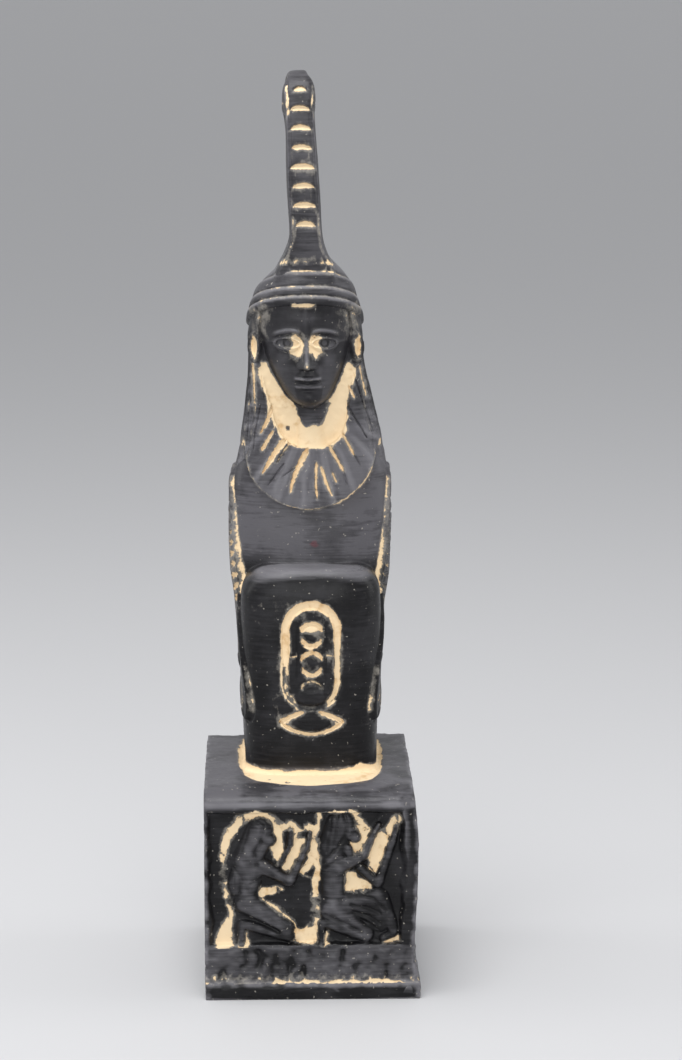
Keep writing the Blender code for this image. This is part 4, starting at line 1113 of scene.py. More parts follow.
def paintKneesTopHighlight(skin):
    # a painted highlight in grey on the rounded top of the knees
    top = skin.within((-22, -14, 52), (22, -0.6, 62))
    x, z = skin.at[top, 0], skin.at[top, 2]
    across = smoothStep(20.5, 14.0, np.abs(x))
    level = z + 2.2 * (x / 18) ** 2
    skin.paintWearAndHighlight(top, smoothStep(56.8, 61.4, level) * (0.25 + 0.55 * across))


def ringOutside(x, y, z):
    # millimetres outside the foot's own outline on the plinth's top
    result = np.full(len(x), 1e9)
    for form in ("torso", "knees"):
        half, front, back, power = section(form, np.maximum(z, -1))
        middle, deep = (front + back) / 2, (back - front) / 2
        radial = ((np.abs(x) / half) ** power + (np.abs(y - middle) / deep) ** power) ** (1 / power)
        result = np.minimum(result, (radial - 1) * np.minimum(half, deep))
    return result


footBed = {
    "outline": ((-21.7, 30.5), (-21.9, 10), (-21.5, -1), (-20.6, -12), (-17.4, -19.5), (-9, -24.2),
                (0, -25.4), (10, -23.8), (17.6, -20.4), (20.6, -12), (21.8, 2), (22.4, 18),
                (21.5, 30.5), (10, 31.2), (-10, 31.2)),
    "deep": 0.45,
    "pits": ((-7.2, -20.5, 0.75), (-12.6, -17.6, 0.4), (4.0, -19.0, 0.25)),  # place and radius
    "pitDeep": 0.5,
}


def carveFoot(skin):
    # a shallow bed of bare stone round the foot, wide in front of it
    chosen = skin.within((-far, -30, -1.5), (far, far, 3.5))
    cx, cy, cz = skin.at[chosen].T
    away = ringOutside(cx, cy, cz)
    bed = insideOf(cx, cy, softOutline(footBed["outline"]))
    ragged = unevenness(skin.at[chosen], (0.45, 6.0, 51), (0.26, 1.9, 52))
    flat = smoothStep(0.6, 0.9, skin.out[chosen, 2]) * smoothStep(0.6, 0.2, cz)
    sunk = footBed["deep"] * smoothStep(-0.2, 0.9, bed) * flat * smoothStep(0.0, 0.8, away + 0.2)
    skin.at[chosen, 2] -= sunk
    rise = 0.85 + 0.5 * ragged + 1.9 * bell(cx, 14.5, 3.0) * (cy < 0) + 0.6 * smoothStep(-14, -19, cx)
    behind = smoothStep(16, 24, cy)
    skin.stain(chosen, np.minimum(bed + ragged * 0.8 - 0.5 * behind, rise - cz - 0.3 * behind))
    for px, py, radius in footBed["pits"]:
        pit = radius - np.hypot(cx - px, cy - py)
        skin.at[chosen, 2] -= footBed["pitDeep"] * smoothStep(-0.2, 0.3, pit) * flat
        skin.unstain(chosen, np.where(pit > -1.2, -pit - 0.1, 9))


print("carving the feather")


def carveFeather(skin):
    s = featherSizes
    x, y, z = skin.at.T
    centre, half, front = bladeAt(z)
    chosen = np.flatnonzero((z > 150) & (z < 206) & (y < front + 1.6) & (skin.out[:, 1] < 0.2))
    u, v = x[chosen] - centre[chosen], z[chosen]
    for i, notchHalf in enumerate(s["notchHalves"]):
        height = s["firstNotch"] + s["notchStep"] * i
        lower = height - s["notchBelow"]
        top = lower + (s["notchHigh"] - 0.25 * (i == 7)) * np.sqrt(np.clip(1 - (u / notchHalf) ** 2, 0, 1))
        inside = np.minimum(np.minimum(v - lower, top - v), notchHalf - np.abs(u))
        slope = 0.55 + 0.45 * smoothStep(lower, np.maximum(top, lower + 0.01), v)
        skin.at[chosen, 1] += 1.0 * smoothStep(-0.15, 0.5, inside) * slope
        ragged = 0.12 * lumps(skin.at[chosen], 2.0, 61 + i)
        # each notch is bare stone except its top 0.3 mm, which stays black as a painted shadow under the
        # notch's upper lip
        skin.stain(chosen, np.minimum(inside + 0.12 + ragged, (top - v) - 0.30))
    root = np.flatnonzero((z > 149.2) & (z < 154) & (np.abs(x + 1.2) < 8.5) & (y < 4))
    rootAcross = skin.at[root, 0] + 1.2
    uneven = unevenness(skin.at[root], (0.34, 2.4, 72), (0.22, 1.2, 73))
    patch = np.minimum(0.12 - np.abs(skin.at[root, 2] - 151.4 + 0.02 * rootAcross**2) * 0.55 + uneven, 0.25)
    skin.stain(root, patch)
    rim = np.abs(np.abs(u) - half[chosen] + 1.0)
    fine = lumps(skin.at[chosen], 2.2, 70)
    skin.at[chosen, 1] += 0.28 * bell(rim, 0.0, 0.35) * smoothStep(152, 155, v)
    # grey over the feather's face as painted sheen, and lighter grey along its side edges
    skin.paintWearAndHighlight(chosen, 0.16 + 0.52 * smoothStep(half[chosen] - 0.9, half[chosen] - 0.3, np.abs(u)))
    dust = -0.10 + 0.25 * fine - rim * 0.8 - 0.5 * smoothStep(163, 168, v)
    skin.stain(chosen, np.where(v < 170, dust, -1))
    for way in (-1, 1):
        x, y, z = skin.at.T
        own = np.flatnonzero((z > 154) & ((x - centre) * way > half - 1.3) & (y > -3))
        u, v = skin.at[own, 1], skin.at[own, 2]
        push = np.array((-way, 0, 0))
        quill = [(3.4 + 0.1 * step, 156 + 4.9 * step) for step in range(8)]
        cutStroke(skin, own, u, v, push, (quill, (0.9, 0.7), 0.55, 0.35))
        for i in range(s["barbs"]):
            height = s["firstBarb"] + s["barbStep"] * i
            barb = [(4.4, height), (7.4, height + 2.0), (10.8, height + 3.0)]
            cutStroke(skin, own, u, v, push, (barb, (0.8, 0.5), 0.45, 0.2))
        middleY, middleZ = s["curlMiddle"]
        for turn in np.radians(np.arange(-30, 200, 23)):
            ray = [(middleY + 2.2 + reach * math.cos(turn), middleZ + reach * math.sin(turn))
                   for reach in (3.6, 6.2, 8.6)]
            cutStroke(skin, own, u, v, push, (ray, (0.8, 0.6), 0.45, 0.2))
        spot = 0.25 + 0.5 * lumps(skin.at[own], 2.4, 71) - np.abs(u - bladeAt(v)[2] - 0.7) * 0.9
        skin.stain(own, np.where((v > 192) & (v < 202), spot, -1))


print("carving the plinth")

# Limbs of the kneeling pairs in millimetres from the field's lower corner: from, to, radii, height.
kneelers = {
    "bothKnees": (
        ((14.4, 35.2), (9.2, 25.4), (4.0, 3.4), 0.80),
        ((10.4, 27.0), (7.2, 17.5), (3.4, 2.6), 0.74),
        ((15.9, 33.6), (17.0, 32.0), (2.7, 2.2), 0.95),
        ((15.5, 30.2), (13.4, 26.5), (1.7, 1.9), 0.82),
        ((11.6, 23.6), (10.6, 15.4), (4.1, 3.2), 0.86),
        ((15.0, 24.0), (22.6, 19.6), (2.6, 1.8), 1.0),
        ((22.8, 19.2), (28.0, 30.2), (1.7, 1.1), 0.92),
        ((27.9, 29.6), (28.9, 34.4), (1.1, 0.8), 0.84),
        ((20.0, 24.6), (23.0, 30.6), (1.1, 1.0), 0.70),
        ((23.0, 30.6), (23.3, 34.8), (1.2, 1.0), 0.72),
        ((10.4, 12.8), (22.0, 5.2), (3.9, 2.5), 0.96),
        ((22.6, 2.8), (9.8, 6.2), (2.1, 1.6), 0.72),
        ((8.8, 6.4), (8.7, 1.2), (1.4, 1.3), 0.62),
    ),
    "oneKnee": (
        ((8.4, 36.2), (6.0, 29.0), (4.4, 4.4), 0.78),
        ((9.4, 37.2), (10.4, 35.0), (3.6, 3.0), 0.80),
        ((11.6, 33.8), (12.6, 32.8), (2.6, 2.1), 0.97),
        ((10.6, 29.0), (11.4, 27.2), (1.7, 1.5), 0.92),
        ((6.4, 25.2), (6.4, 13.6), (4.2, 3.4), 0.86),
        ((8.2, 23.8), (15.0, 27.0), (2.5, 1.7), 1.0),
        ((15.2, 27.0), (18.4, 34.6), (1.6, 1.1), 0.92),
        ((18.4, 34.0), (19.6, 36.6), (1.0, 0.7), 0.84),
        ((14.2, 23.4), (19.2, 18.6), (1.6, 1.6), 0.74),
        ((19.4, 18.6), (23.6, 31.6), (1.7, 1.3), 0.78),
        ((23.6, 31.2), (24.8, 36.2), (1.3, 0.9), 0.74),
        ((6.0, 11.2), (19.4, 14.6), (3.0, 2.9), 0.72),
        ((20.2, 14.0), (24.4, 4.4), (2.8, 1.9), 0.66),
        ((24.6, 3.4), (21.0, 1.8), (1.5, 1.3), 0.60),
        ((10.5, 12.0), (20.0, 9.6), (4.4, 4.2), 0.56),
        ((17.6, 7.6), (20.4, 6.2), (3.0, 2.6), 0.52),
        ((5.8, 10.4), (16.0, 3.2), (3.6, 2.4), 0.96),
        ((16.0, 2.4), (4.0, 6.6), (2.0, 1.6), 0.76),
        ((2.9, 6.6), (2.8, 1.2), (1.4, 1.3), 0.62),
    ),
    # folds and edges cut into them: points, width, depth
    "bothKneesCuts": (
        (((12.4, 38.2), (15.0, 36.4), (14.6, 32.0), (12.4, 28.6), (13.2, 24.8)), 0.6, 0.35),
        (((6.6, 24.0), (8.6, 21.0), (8.4, 16.4)), 0.5, 0.28),
        (((16.6, 33.4), (17.9, 33.5)), 0.6, 0.35),
        (((8.0, 9.6), (14.6, 6.9), (19.4, 4.3)), 0.7, 0.55),
        (((11.4, 19.0), (15.4, 20.8), (20.4, 19.4)), 0.5, 0.25),
        (((7.6, 14.2), (13.6, 15.8)), 0.6, 0.30),
        (((9.4, 36.0), (7.8, 30.0), (6.0, 24.6)), 0.4, 0.20),
        (((11.2, 36.6), (9.6, 30.6), (8.0, 25.2)), 0.4, 0.20),
    ),
    "oneKneeCuts": (
        (((9.4, 39.8), (10.4, 36.8), (9.6, 33.0), (7.4, 29.6), (3.4, 25.6)), 0.6, 0.35),
        (((12.2, 34.2), (13.5, 34.2)), 0.6, 0.35),
        (((3.6, 23.6), (7.0, 25.8), (11.2, 24.6)), 0.5, 0.28),
        (((4.0, 9.4), (10.0, 6.6), (14.4, 4.0)), 0.7, 0.55),
        (((3.6, 14.4), (9.4, 14.0)), 0.6, 0.30),
        (((11.6, 12.4), (16.4, 11.4), (20.0, 9.6)), 0.6, 0.40),
        (((13.6, 15.2), (18.4, 14.2), (22.0, 10.4)), 0.5, 0.30),
        (((12.0, 10.2), (16.6, 8.8), (20.0, 6.4)), 0.6, 0.40),
        (((14.4, 7.6), (17.4, 6.2), (19.4, 4.4)), 0.5, 0.30),
        (((5.8, 38.4), (5.2, 33.0), (4.4, 28.4)), 0.4, 0.20),
        (((7.6, 39.2), (7.2, 34.0), (6.2, 28.8)), 0.4, 0.20),
    ),
    # where the ground round the front pair is bare: points, start and end radius
    "bareGround": (
        (((4.3, 28.2), (5.5, 33.0), (8.4, 37.4), (13.0, 39.9), (17.3, 38.5), (19.2, 35.4)), 1.0, 1.4),
        (((4.2, 28.4), (3.7, 21.5), (5.0, 15.7), (6.4, 9.0)), 0.6, 0.6),
        (((6.0, 8.4), (5.0, 5.0), (4.2, 1.2)), 0.7, 2.3),
        (((18.5, 35.0), (20.2, 26.3)), 2.1, 1.5),
        (((21.2, 35.6), (23.6, 36.9), (25.3, 34.6)), 1.0, 0.7),
        (((25.6, 31.5), (22.6, 24.2)), 1.9, 1.4),
        (((27.0, 35.4), (29.6, 36.0), (30.4, 31.0), (29.4, 25.8), (27.0, 21.8)), 0.9, 0.9),
        (((31.6, 29.6), (31.6, 20.2)), 1.2, 0.9),
        (((13.9, 15.9), (21.0, 17.2)), 1.7, 0.5),
        (((13.9, 13.8), (18.6, 11.2), (24.0, 6.2), (26.8, 2.2)), 0.9, 0.8),
        (((25.6, 2.7), (30.2, 2.9)), 2.1, 2.4),
        (((9.6, 0.4), (9.9, 3.0)), 1.6, 0.9),
        (((30.6, 20.8), (30.9, 5.4)), 0.9, 0.8),
        (((31.9, 39.4), (30.9, 34.6)), 0.7, 0.7),
        (((34.8, 40.7), (38.6, 41.4), (41.8, 40.4), (43.7, 37.0), (43.6, 33.5)), 0.5, 1.3),
        (((42.3, 29.4), (45.2, 35.0)), 1.9, 1.5),
        (((46.4, 28.6), (51.0, 32.2), (54.8, 37.9)), 2.3, 1.3),
        (((47.7, 23.0), (50.2, 29.6)), 1.5, 1.9),
        (((41.4, 19.9), (40.8, 13.4)), 2.3, 1.0),
        (((45.8, 17.6), (42.0, 19.0)), 1.3, 1.6),
        (((33.4, 0.6), (33.6, 3.2)), 1.3, 0.8),
        (((51.6, 1.5), (55.2, 1.7)), 1.0, 0.8),
    ),
    # where each figure starts: in the front field, and on the side walls
    "corners": {"bothKnees": 0.3, "oneKnee": 29.6, "right": 16.0, "left": -16.0},
}
bandStrokes = {
    "count": 12,
    "margin": 2,
    "rows": ((3.4, 2.2), (7.8, 2.2)),  # height of the middle and reach up and down
    "startWander": 0.45,
    "slant": 0.4,
    "bend": 0.25,
    "startWidths": (2.6, 4.2),
    "endWidths": (2.0, 3.6),
    "depths": (0.35, 0.65),
}
wallTurns = {"front": (1, 0), "right": (0, 1), "back": (-1, 0), "left": (0, -1)}


def limbForm(u, v, limb):
    # millimetres outside a tapering limb, and its rounded height
    (startU, startV), (endU, endV), (startRadius, endRadius), high = limb
    stepU, stepV = endU - startU, endV - startV
    t = np.clip(((u - startU) * stepU + (v - startV) * stepV) / (stepU**2 + stepV**2), 0, 1)
    radius = startRadius + (endRadius - startRadius) * t
    away = np.hypot(u - startU - t * stepU, v - startV - t * stepV) - radius
    within = np.clip(-away / radius, 0, 1)
    return away, high * (1 - (1 - within) ** 2.0) ** 0.62


def kneelerForm(u, v, name):
    away = np.full(len(u), 1e9)
    total = np.zeros(len(u))
    for limb in kneelers[name]:
        limbAway, limbHigh = limbForm(u, v, limb)
        away = np.minimum(away, limbAway)
        total += limbHigh**5
    high = np.minimum(total**0.2, 1.15)
    for points, width, depth in kneelers[name + "Cuts"]:
        distance = polyline(u, v, points)[0]
        high -= 0.6 * depth * smoothStep(width * 1.6, 0, distance) * (high > 0.25)
    return away, high


def wallPlace(skin, wall):
    # run along a wall, height over the floor and distance out from the plinth's middle
    turnX, turnY = wallTurns[wall]
    worldY = skin.at[:, 1] + figureBehind
    along = skin.at[:, 0] * turnX + worldY * turnY
    out = -worldY * turnX + skin.at[:, 0] * turnY
    return along, skin.at[:, 2] + plinthSizes["high"], out


def carveField(skin, wall, figures):
    # raise the kneeling figures from a wall's sunk field
    s = plinthSizes
    along, height, out = wallPlace(skin, wall)
    edge = s["halfDeep"] if wall in ("front", "back") else s["halfWide"]
    base = s["lipHigh"] + s["bandHigh"]
    reachOut = s["flare"] + 0.4 if wall == "front" else 0.6 - s["fieldSink"]
    chosen = np.flatnonzero((out > edge - s["fieldSink"] - 0.5) & (out < edge + reachOut)
                            & (height > base - 0.6) & (height < s["high"] - 5))
    u, v = along[chosen], height[chosen] - base
    turnX, turnY = wallTurns[wall]
    push = np.array((turnY, -turnX, 0.0))
    if wall == "front":
        # its frame is soft and uneven, so it is pressed in here and not cut
        wobble = unevenness(skin.at[chosen], (0.28, 8.0, 82), (0.12, 2.5, 83))
        right = s["halfWide"] - s["post"] + s["flare"]
        sides = np.minimum(u + s["halfWide"] - s["fieldSide"], right - u) + 1.5 * wobble
        ends = np.minimum(v, s["high"] - s["slopeDrop"] - s["fieldTop"] - base - v) + 0.6 * wobble
        inside = np.minimum(sides / 1.6, ends / 0.9)
        skin.at[chosen] -= push * (s["fieldSink"] * smoothStep(-0.1, 1, inside))[:, None]
        # a painted highlight in grey along the inner edge of the post
        skin.paintWearAndHighlight(chosen, 0.85 * bell(right - u + 1.5 * wobble, -0.5, 0.6) * smoothStep(22, 34, v))
    high = np.zeros(len(chosen))
    away = np.full(len(chosen), 1e9)
    for name, corner, mirrored in figures:
        formAway, formHigh = kneelerForm(corner - u if mirrored else u - corner, v, name)
        high = np.maximum(high, formHigh)
        away = np.minimum(away, formAway)
    uneven = 0.06 * lumps(skin.at[chosen], 7.0, 81)
    skin.at[chosen] += push * (high * s["relief"] + uneven)[:, None]
    # the raised figures are painted grey, partly as rubbed wear and partly as painted highlight
    skin.paintWearAndHighlight(chosen, 0.42 * smoothStep(0.15, 1.0, high) + 0.10 * lumps(skin.at[chosen], 3.0, 84)
             * (high > 0.2))
    return chosen, u, v, away


def carvePlinth(skin):
    s = plinthSizes
    low = -s["halfWide"] + s["fieldSide"]
    corners = kneelers["corners"]
    figures = [(name, low + corners[name], False) for name in ("bothKnees", "oneKnee")]
    chosen, u, v, away = carveField(skin, "front", figures)
    bare = np.full(len(chosen), -2.0)
    for points, startRadius, endRadius in kneelers["bareGround"]:
        distance, share = polyline(u - low, v, points)
        bare = np.maximum(bare, startRadius + (endRadius - startRadius) * share - distance)
    ragged = unevenness(skin.at[chosen], (0.30, 2.8, 91), (0.14, 1.2, 92))
    skin.stain(chosen, np.minimum(bare + ragged, away + 0.12 + 0.5 * ragged))
    for wall, mirrored, seed in (("right", True, 93), ("left", False, 94)):
        chosen, u, v, away = carveField(skin, wall, [("bothKnees", corners[wall], mirrored)])
        ragged = unevenness(skin.at[chosen], (0.5, 4.5, seed), (0.18, 1.4, seed + 5))
        skin.stain(chosen, np.minimum(0.55 + 1.3 * ragged - away, away + 0.10 + 0.3 * ragged))
    carveBaseBand(skin)


def carveBaseBand(skin):
    # rows of short rough cuts that are no letters, worn nearly smooth
    s, b = plinthSizes, bandStrokes
    chance = np.random.default_rng(7)
    for wall in ("front", "right", "left", "back"):
        along, height, out = wallPlace(skin, wall)
        frontal = wall in ("front", "back")
        half = s["halfWide"] if frontal else s["halfDeep"]
        edge = s["halfDeep"] if frontal else s["halfWide"]
        turnX, turnY = wallTurns[wall]
        push = np.array((-turnY, turnX, 0.0))
        chosen = np.flatnonzero((out > edge - 0.8) & (out < edge + 0.9) & (height > s["lipHigh"] + 0.1)
                                & (height < s["lipHigh"] + s["bandHigh"] + 0.2))
        u, v = along[chosen], height[chosen] - s["lipHigh"]
        if wall != "back":
            slow = unevenness(skin.at[chosen], (0.34, 6.5, 101), (0.16, 2.9, 102))
            skin.at[chosen] += push * (slow * plateau(v, 0.3, 1.6, 10.6, 11.6))[:, None]
            step = 2 * (half - b["margin"]) / b["count"]
            for row, (middle, tall) in enumerate(b["rows"]):
                for i in range(b["count"]):
                    start = -half + b["margin"] + step * (i + 0.5 + 0.3 * row)
                    start += chance.uniform(-b["startWander"], b["startWander"])
                    slant = chance.uniform(-b["slant"], b["slant"])
                    bend = chance.uniform(-b["bend"], b["bend"])
                    reach = tall * chance.uniform(0.7, 1.0)
                    points = ((start - slant, middle - reach), (start + bend, middle),
                              (start + slant, middle + reach))
                    widths = (chance.uniform(*b["startWidths"]), chance.uniform(*b["endWidths"]))
                    away, along = polyline(u, v, points)
                    wide = (widths[0] + (widths[1] - widths[0]) * along) / 3.0
                    skin.at[chosen] += push * (chance.uniform(*b["depths"]) * bell(away, 0, wide))[:, None]
        # the band's raised face is painted grey, partly as rubbed wear and partly as painted highlight
        sunk = edge - (skin.at[chosen] @ np.array((turnY, -turnX, 0.0)) - figureBehind * turnX)
        skin.paintWearAndHighlight(chosen, 0.42 * smoothStep(0.55, -0.1, sunk))
        ragged = unevenness(skin.at[chosen], (0.38, 5.0, 111), (0.22, 1.7, 112))
        if wall == "front":
            reachLine = plateau(u, -12.5, -9.5, 25.0, 28.0)
            thick = 0.75 + 0.9 * bell(u, -11.5, 2.6) + 0.25 * bell(u, 4, 5) + 0.45 * bell(u, 19, 3)
            skin.stain(chosen, thick * reachLine - 0.15 + ragged * 0.7 - np.abs(v - 0.25 * thick))
            specks = 0.30 * (lumps(skin.at[chosen], 2.3, 113) + lumps(skin.at[chosen], 1.3, 114)) - 0.28
            skin.stain(chosen, specks - np.abs(v - 1.6) * 0.35)
        else:
            skin.stain(chosen, 0.15 + ragged - np.abs(v - 0.2))


def roughen(skin):
    # slow unevenness of a hand-finished cast
    amount = unevenness(skin.at, (0.10, 17.0, 121), (0.045, 6.0, 122))
    level = skin.at[:, 2] + plinthSizes["high"]
    x, y, z = skin.at.T
    onFace = (np.abs(x) < 12) & (z > faceSizes["chin"] - 2) & (z < faceSizes["top"]) & (y < 5)
    amount = np.where(onFace, 0.2 * amount, amount) * smoothStep(0.3, 3.0, level)
    skin.at += skin.out * amount[:, None]


unevenForms = {
    # the figure sways off the middle: height, shift
    "sway": ((84, 0.0), (93, 0.45), (103, 0.25), (112, -0.35), (121, -1.0), (130, -1.3), (141, -1.3),
             (150, 0.0)),
    # the plinth's side walls: height over the floor, how far the left and the right one stand off
    "walls": ((0, 0.0, 0.0), (4.2, 0.0, 0.1), (5.6, -0.55, -0.5), (12, -0.75, -1.0), (20, -0.80, -0.9),
              (28, -0.85, -0.4), (36, -0.85, 0.0), (50, -0.85, 0.0), (57, -0.95, -0.6), (63, -1.1, -1.1)),
}


def bendForms(skin):
    z = skin.at[:, 2]
    skin.at[:, 0] += smoothCurve(unevenForms["sway"], 1, z) * (z > 80)
    own = np.flatnonzero(z < 2.0)
    over = skin.at[own, 2] + plinthSizes["high"]
    left = smoothCurve(unevenForms["walls"], 1, over) * smoothStep(-20, -30, skin.at[own, 0])
    right = smoothCurve(unevenForms["walls"], 2, over) * smoothStep(19, 29, skin.at[own, 0])
    skin.at[own, 0] += left + right


def wearPlinth(skin):
    # edges knocked and rubbed uneven, and a painted highlight along the lower edge of the front's sloping
    # top band
    s = plinthSizes
    x, y, z = skin.at.T
    own = np.flatnonzero(z < 0.3)
    sideways = np.abs(x[own])
    over = z[own] + s["high"]
    frontal = np.abs(y[own] + figureBehind)
    nearSide = smoothStep(2.2, 0.2, s["halfWide"] + s["flare"] - sideways)
    nearFront = smoothStep(2.2, 0.2, s["halfDeep"] + s["flare"] - frontal)
    nearLip = smoothStep(1.6, 0.3, np.abs(over - s["lipHigh"]))
    nearTop = smoothStep(1.8, 0.3, s["high"] - over)
    corner = np.clip(nearSide * nearFront + (nearSide + nearFront) * np.maximum(nearLip, nearTop), 0, 1)
    knocks = unevenness(skin.at[own], (0.22, 7.0, 131), (0.14, 2.6, 132)) - 0.16
    ground = smoothStep(0.3, 1.6, over)
    wearAndHighlight = corner * (0.75 + 0.5 * lumps(skin.at[own], 5.0, 133))
    skin.paintWearAndHighlight(own, np.clip(wearAndHighlight, 0, 1))
    # painted highlight in grey along the lower edge of the front's sloping top band
    fromFront = y[own] + figureBehind + s["halfDeep"]
    under = bell(z[own], 0.3 - s["slopeDrop"], 0.9) * smoothStep(2.4, 1.0, fromFront)
    skin.paintWearAndHighlight(own, under * (0.55 + 0.45 * smoothStep(6, 24, np.abs(x[own] - 2))
                           + 0.25 * lumps(skin.at[own], 9.0, 134)))
    skin.at[own] += skin.out[own] * (corner * ground * np.minimum(knocks, 0.12))[:, None]


skin = Skin(statue)
carveHair(skin)
carveTrench(skin)
carveFace(skin)
carveBands(skin)
carveShoulders(skin)
carveWings(skin)
carveKnees(skin)
paintKneesTopHighlight(skin)
carveFoot(skin)
carveFeather(skin)
carvePlinth(skin)
wearPlinth(skin)
roughen(skin)
bendForms(skin)


print("thinning and painting")


def keepInBox(points):
    # nothing stands out of the solid's own box, and the underside stays flat
    low, high = inFigure(np.array(cadLow)), inFigure(np.array(cadHigh))
    np.clip(points, low, high, out=points)
    under = points[:, 2] < low[2] + 0.15
    points[under, 2] = low[2]


def edgeEnds(mesh):
    # both ends of every edge, and how many edges meet at each vertex
    ends = np.empty(len(mesh.edges) * 2, np.int32)
    mesh.edges.foreach_get("vertices", ends)
    a, b = ends[0::2], ends[1::2]
    total = len(mesh.vertices)
    return a, b, np.bincount(a, minlength=total) + np.bincount(b, minlength=total)


def spreadOverNeighbours(mesh, values, rounds):
    a, b, count = edgeEnds(mesh)
    for _ in range(rounds):
        total = np.bincount(a, values[b], len(values)) + np.bincount(b, values[a], len(values))
        values = 0.5 * values + 0.5 * total / np.maximum(count, 1)
    return values


def ridgeAmount(mesh, points, out):
    # positive on ridges, negative in hollows, from how neighbours lie below or above
    a, b, count = edgeEnds(mesh)
    run = points[b] - points[a]
    length = np.maximum(np.linalg.norm(run, axis=1), 1e-6)
    fromA = -np.einsum("ij,ij->i", run, out[a]) / length
    fromB = np.einsum("ij,ij->i", run, out[b]) / length
    return (np.bincount(a, fromA, len(points)) + np.bincount(b, fromB, len(points))) / np.maximum(count, 1)


keepInBox(skin.at)
writePoints(statue, skin.at)
outwards = readRows(statue.data.vertex_normals, "vector").astype(float)
ridge = ridgeAmount(statue.data, skin.at, outwards)
ridge = spreadOverNeighbours(statue.data, ridge, statueSettings["ridgeSpread"])
# the grey of rubbed wear and of painted highlight and sheen, spread a little over the neighbours
sheenAndWear = spreadOverNeighbours(statue.data, skin.sheenAndWear, statueSettings["sheenAndWearSpread"])
for name, values in (("wash", skin.wash), ("ridge", ridge), ("sheenAndWear", sheenAndWear)):
    layer = statue.data.attributes.new(name, "FLOAT", "POINT")
    layer.data.foreach_set("value", values.astype(np.float32))

triangles = sum(len(face.vertices) - 2 for face in statue.data.polygons)
applyModifier(statue, "DECIMATE", ratio=min(1.0, statueSettings["triangles"] / triangles))
print("thinned from", triangles, "to", len(statue.data.polygons), "triangles; attributes",
      [a.name for a in statue.data.attributes])
thinned = readPoints(statue)
keepInBox(thinned)
writePoints(statue, thinned)
bpy.ops.object.shade_smooth()


class Graph:
    # a material's nodes
    def __init__(self, name):
        self.material = bpy.data.materials.new(name)
        self.material.use_nodes = True
        self.tree = self.material.node_tree
        self.shader = self.tree.nodes["Principled BSDF"]

    def add(self, kind, settings=None, inputs=None, output=0):
        node = self.tree.nodes.new(kind)
        for key, value in (settings or {}).items():
            setattr(node, key, value)
        for key, value in (inputs or {}).items():
            self.put(node.inputs[key], value)
        return Value(self, node.outputs[output])

    def put(self, socket, value):
        if isinstance(value, Value):
            self.tree.links.new(value.socket, socket)
        else:
            socket.default_value = value

    def mix(self, factor, first, second):
        made = self.add("ShaderNodeMix", {"data_type": "RGBA"}, None, 2)
        node = made.socket.node
        self.put(node.inputs[0], factor)
        for socket, value in ((node.inputs[6], first), (node.inputs[7], second)):
            self.put(socket, value if isinstance(value, Value) else (*value, 1))
        return made

    def blend(self, factor, first, second):
        return first + factor * (second - first)

    def noise(self, place, scale, detail=3.0, rough=0.55, stretch=None):
        if stretch:
            place = self.add("ShaderNodeMapping", None, {"Vector": place, "Scale": stretch})
        return self.add("ShaderNodeTexNoise", None, {"Vector": place, "Scale": scale, "Detail": detail,
                                                     "Roughness": rough})


class Value:
    # a socket that takes part in sums
    def __init__(self, graph, socket):
        self.graph, self.socket = graph, socket

    def math(self, operation, *others):
        node = self.graph.tree.nodes.new("ShaderNodeMath")
        node.operation = operation
        for socket, value in zip(node.inputs, (self, *others)):
            self.graph.put(socket, value)
        return Value(self.graph, node.outputs[0])

    def __add__(self, other):
        return self.math("ADD", other)

    __radd__ = __add__

    def __sub__(self, other):
        return self.math("SUBTRACT", other)

    def __rsub__(self, other):
        return self.math("MULTIPLY", -1.0).math("ADD", other)

    def __mul__(self, other):
        return self.math("MULTIPLY", other)

    __rmul__ = __mul__

    def step(self, low, high):
        # 0 below low, 1 above high, smooth between
        node = self.graph.tree.nodes.new("ShaderNodeMapRange")
        node.interpolation_type = "SMOOTHSTEP"
        for key, value in (("Value", self), ("From Min", low), ("From Max", high)):
            self.graph.put(node.inputs[key], value)
        return Value(self.graph, node.outputs[0])


paintSettings = {
    "black": (0.0060, 0.0058, 0.0066),
    "dusty": (0.036, 0.035, 0.039),
    # the grey of the painted sheen on the upper body and the plinth's top band
    "sheenAndWear": (0.092, 0.089, 0.098),
    # the grey of rubbed wear and of painted highlights
    "wearAndHighlight": (0.150, 0.146, 0.158),
    "stone": (0.79, 0.62, 0.40),
    "stoneDark": (0.60, 0.40, 0.20),
    "worn": (0.42, 0.39, 0.34),
    "blackRough": 0.36,
    "stoneRough": 0.82,
    "shine": 0.19,
    "redSpeck": (0.22, 0.02, 0.035),
    "redSpeckPlace": (0.0012, 0.0002, 0.1299),
}


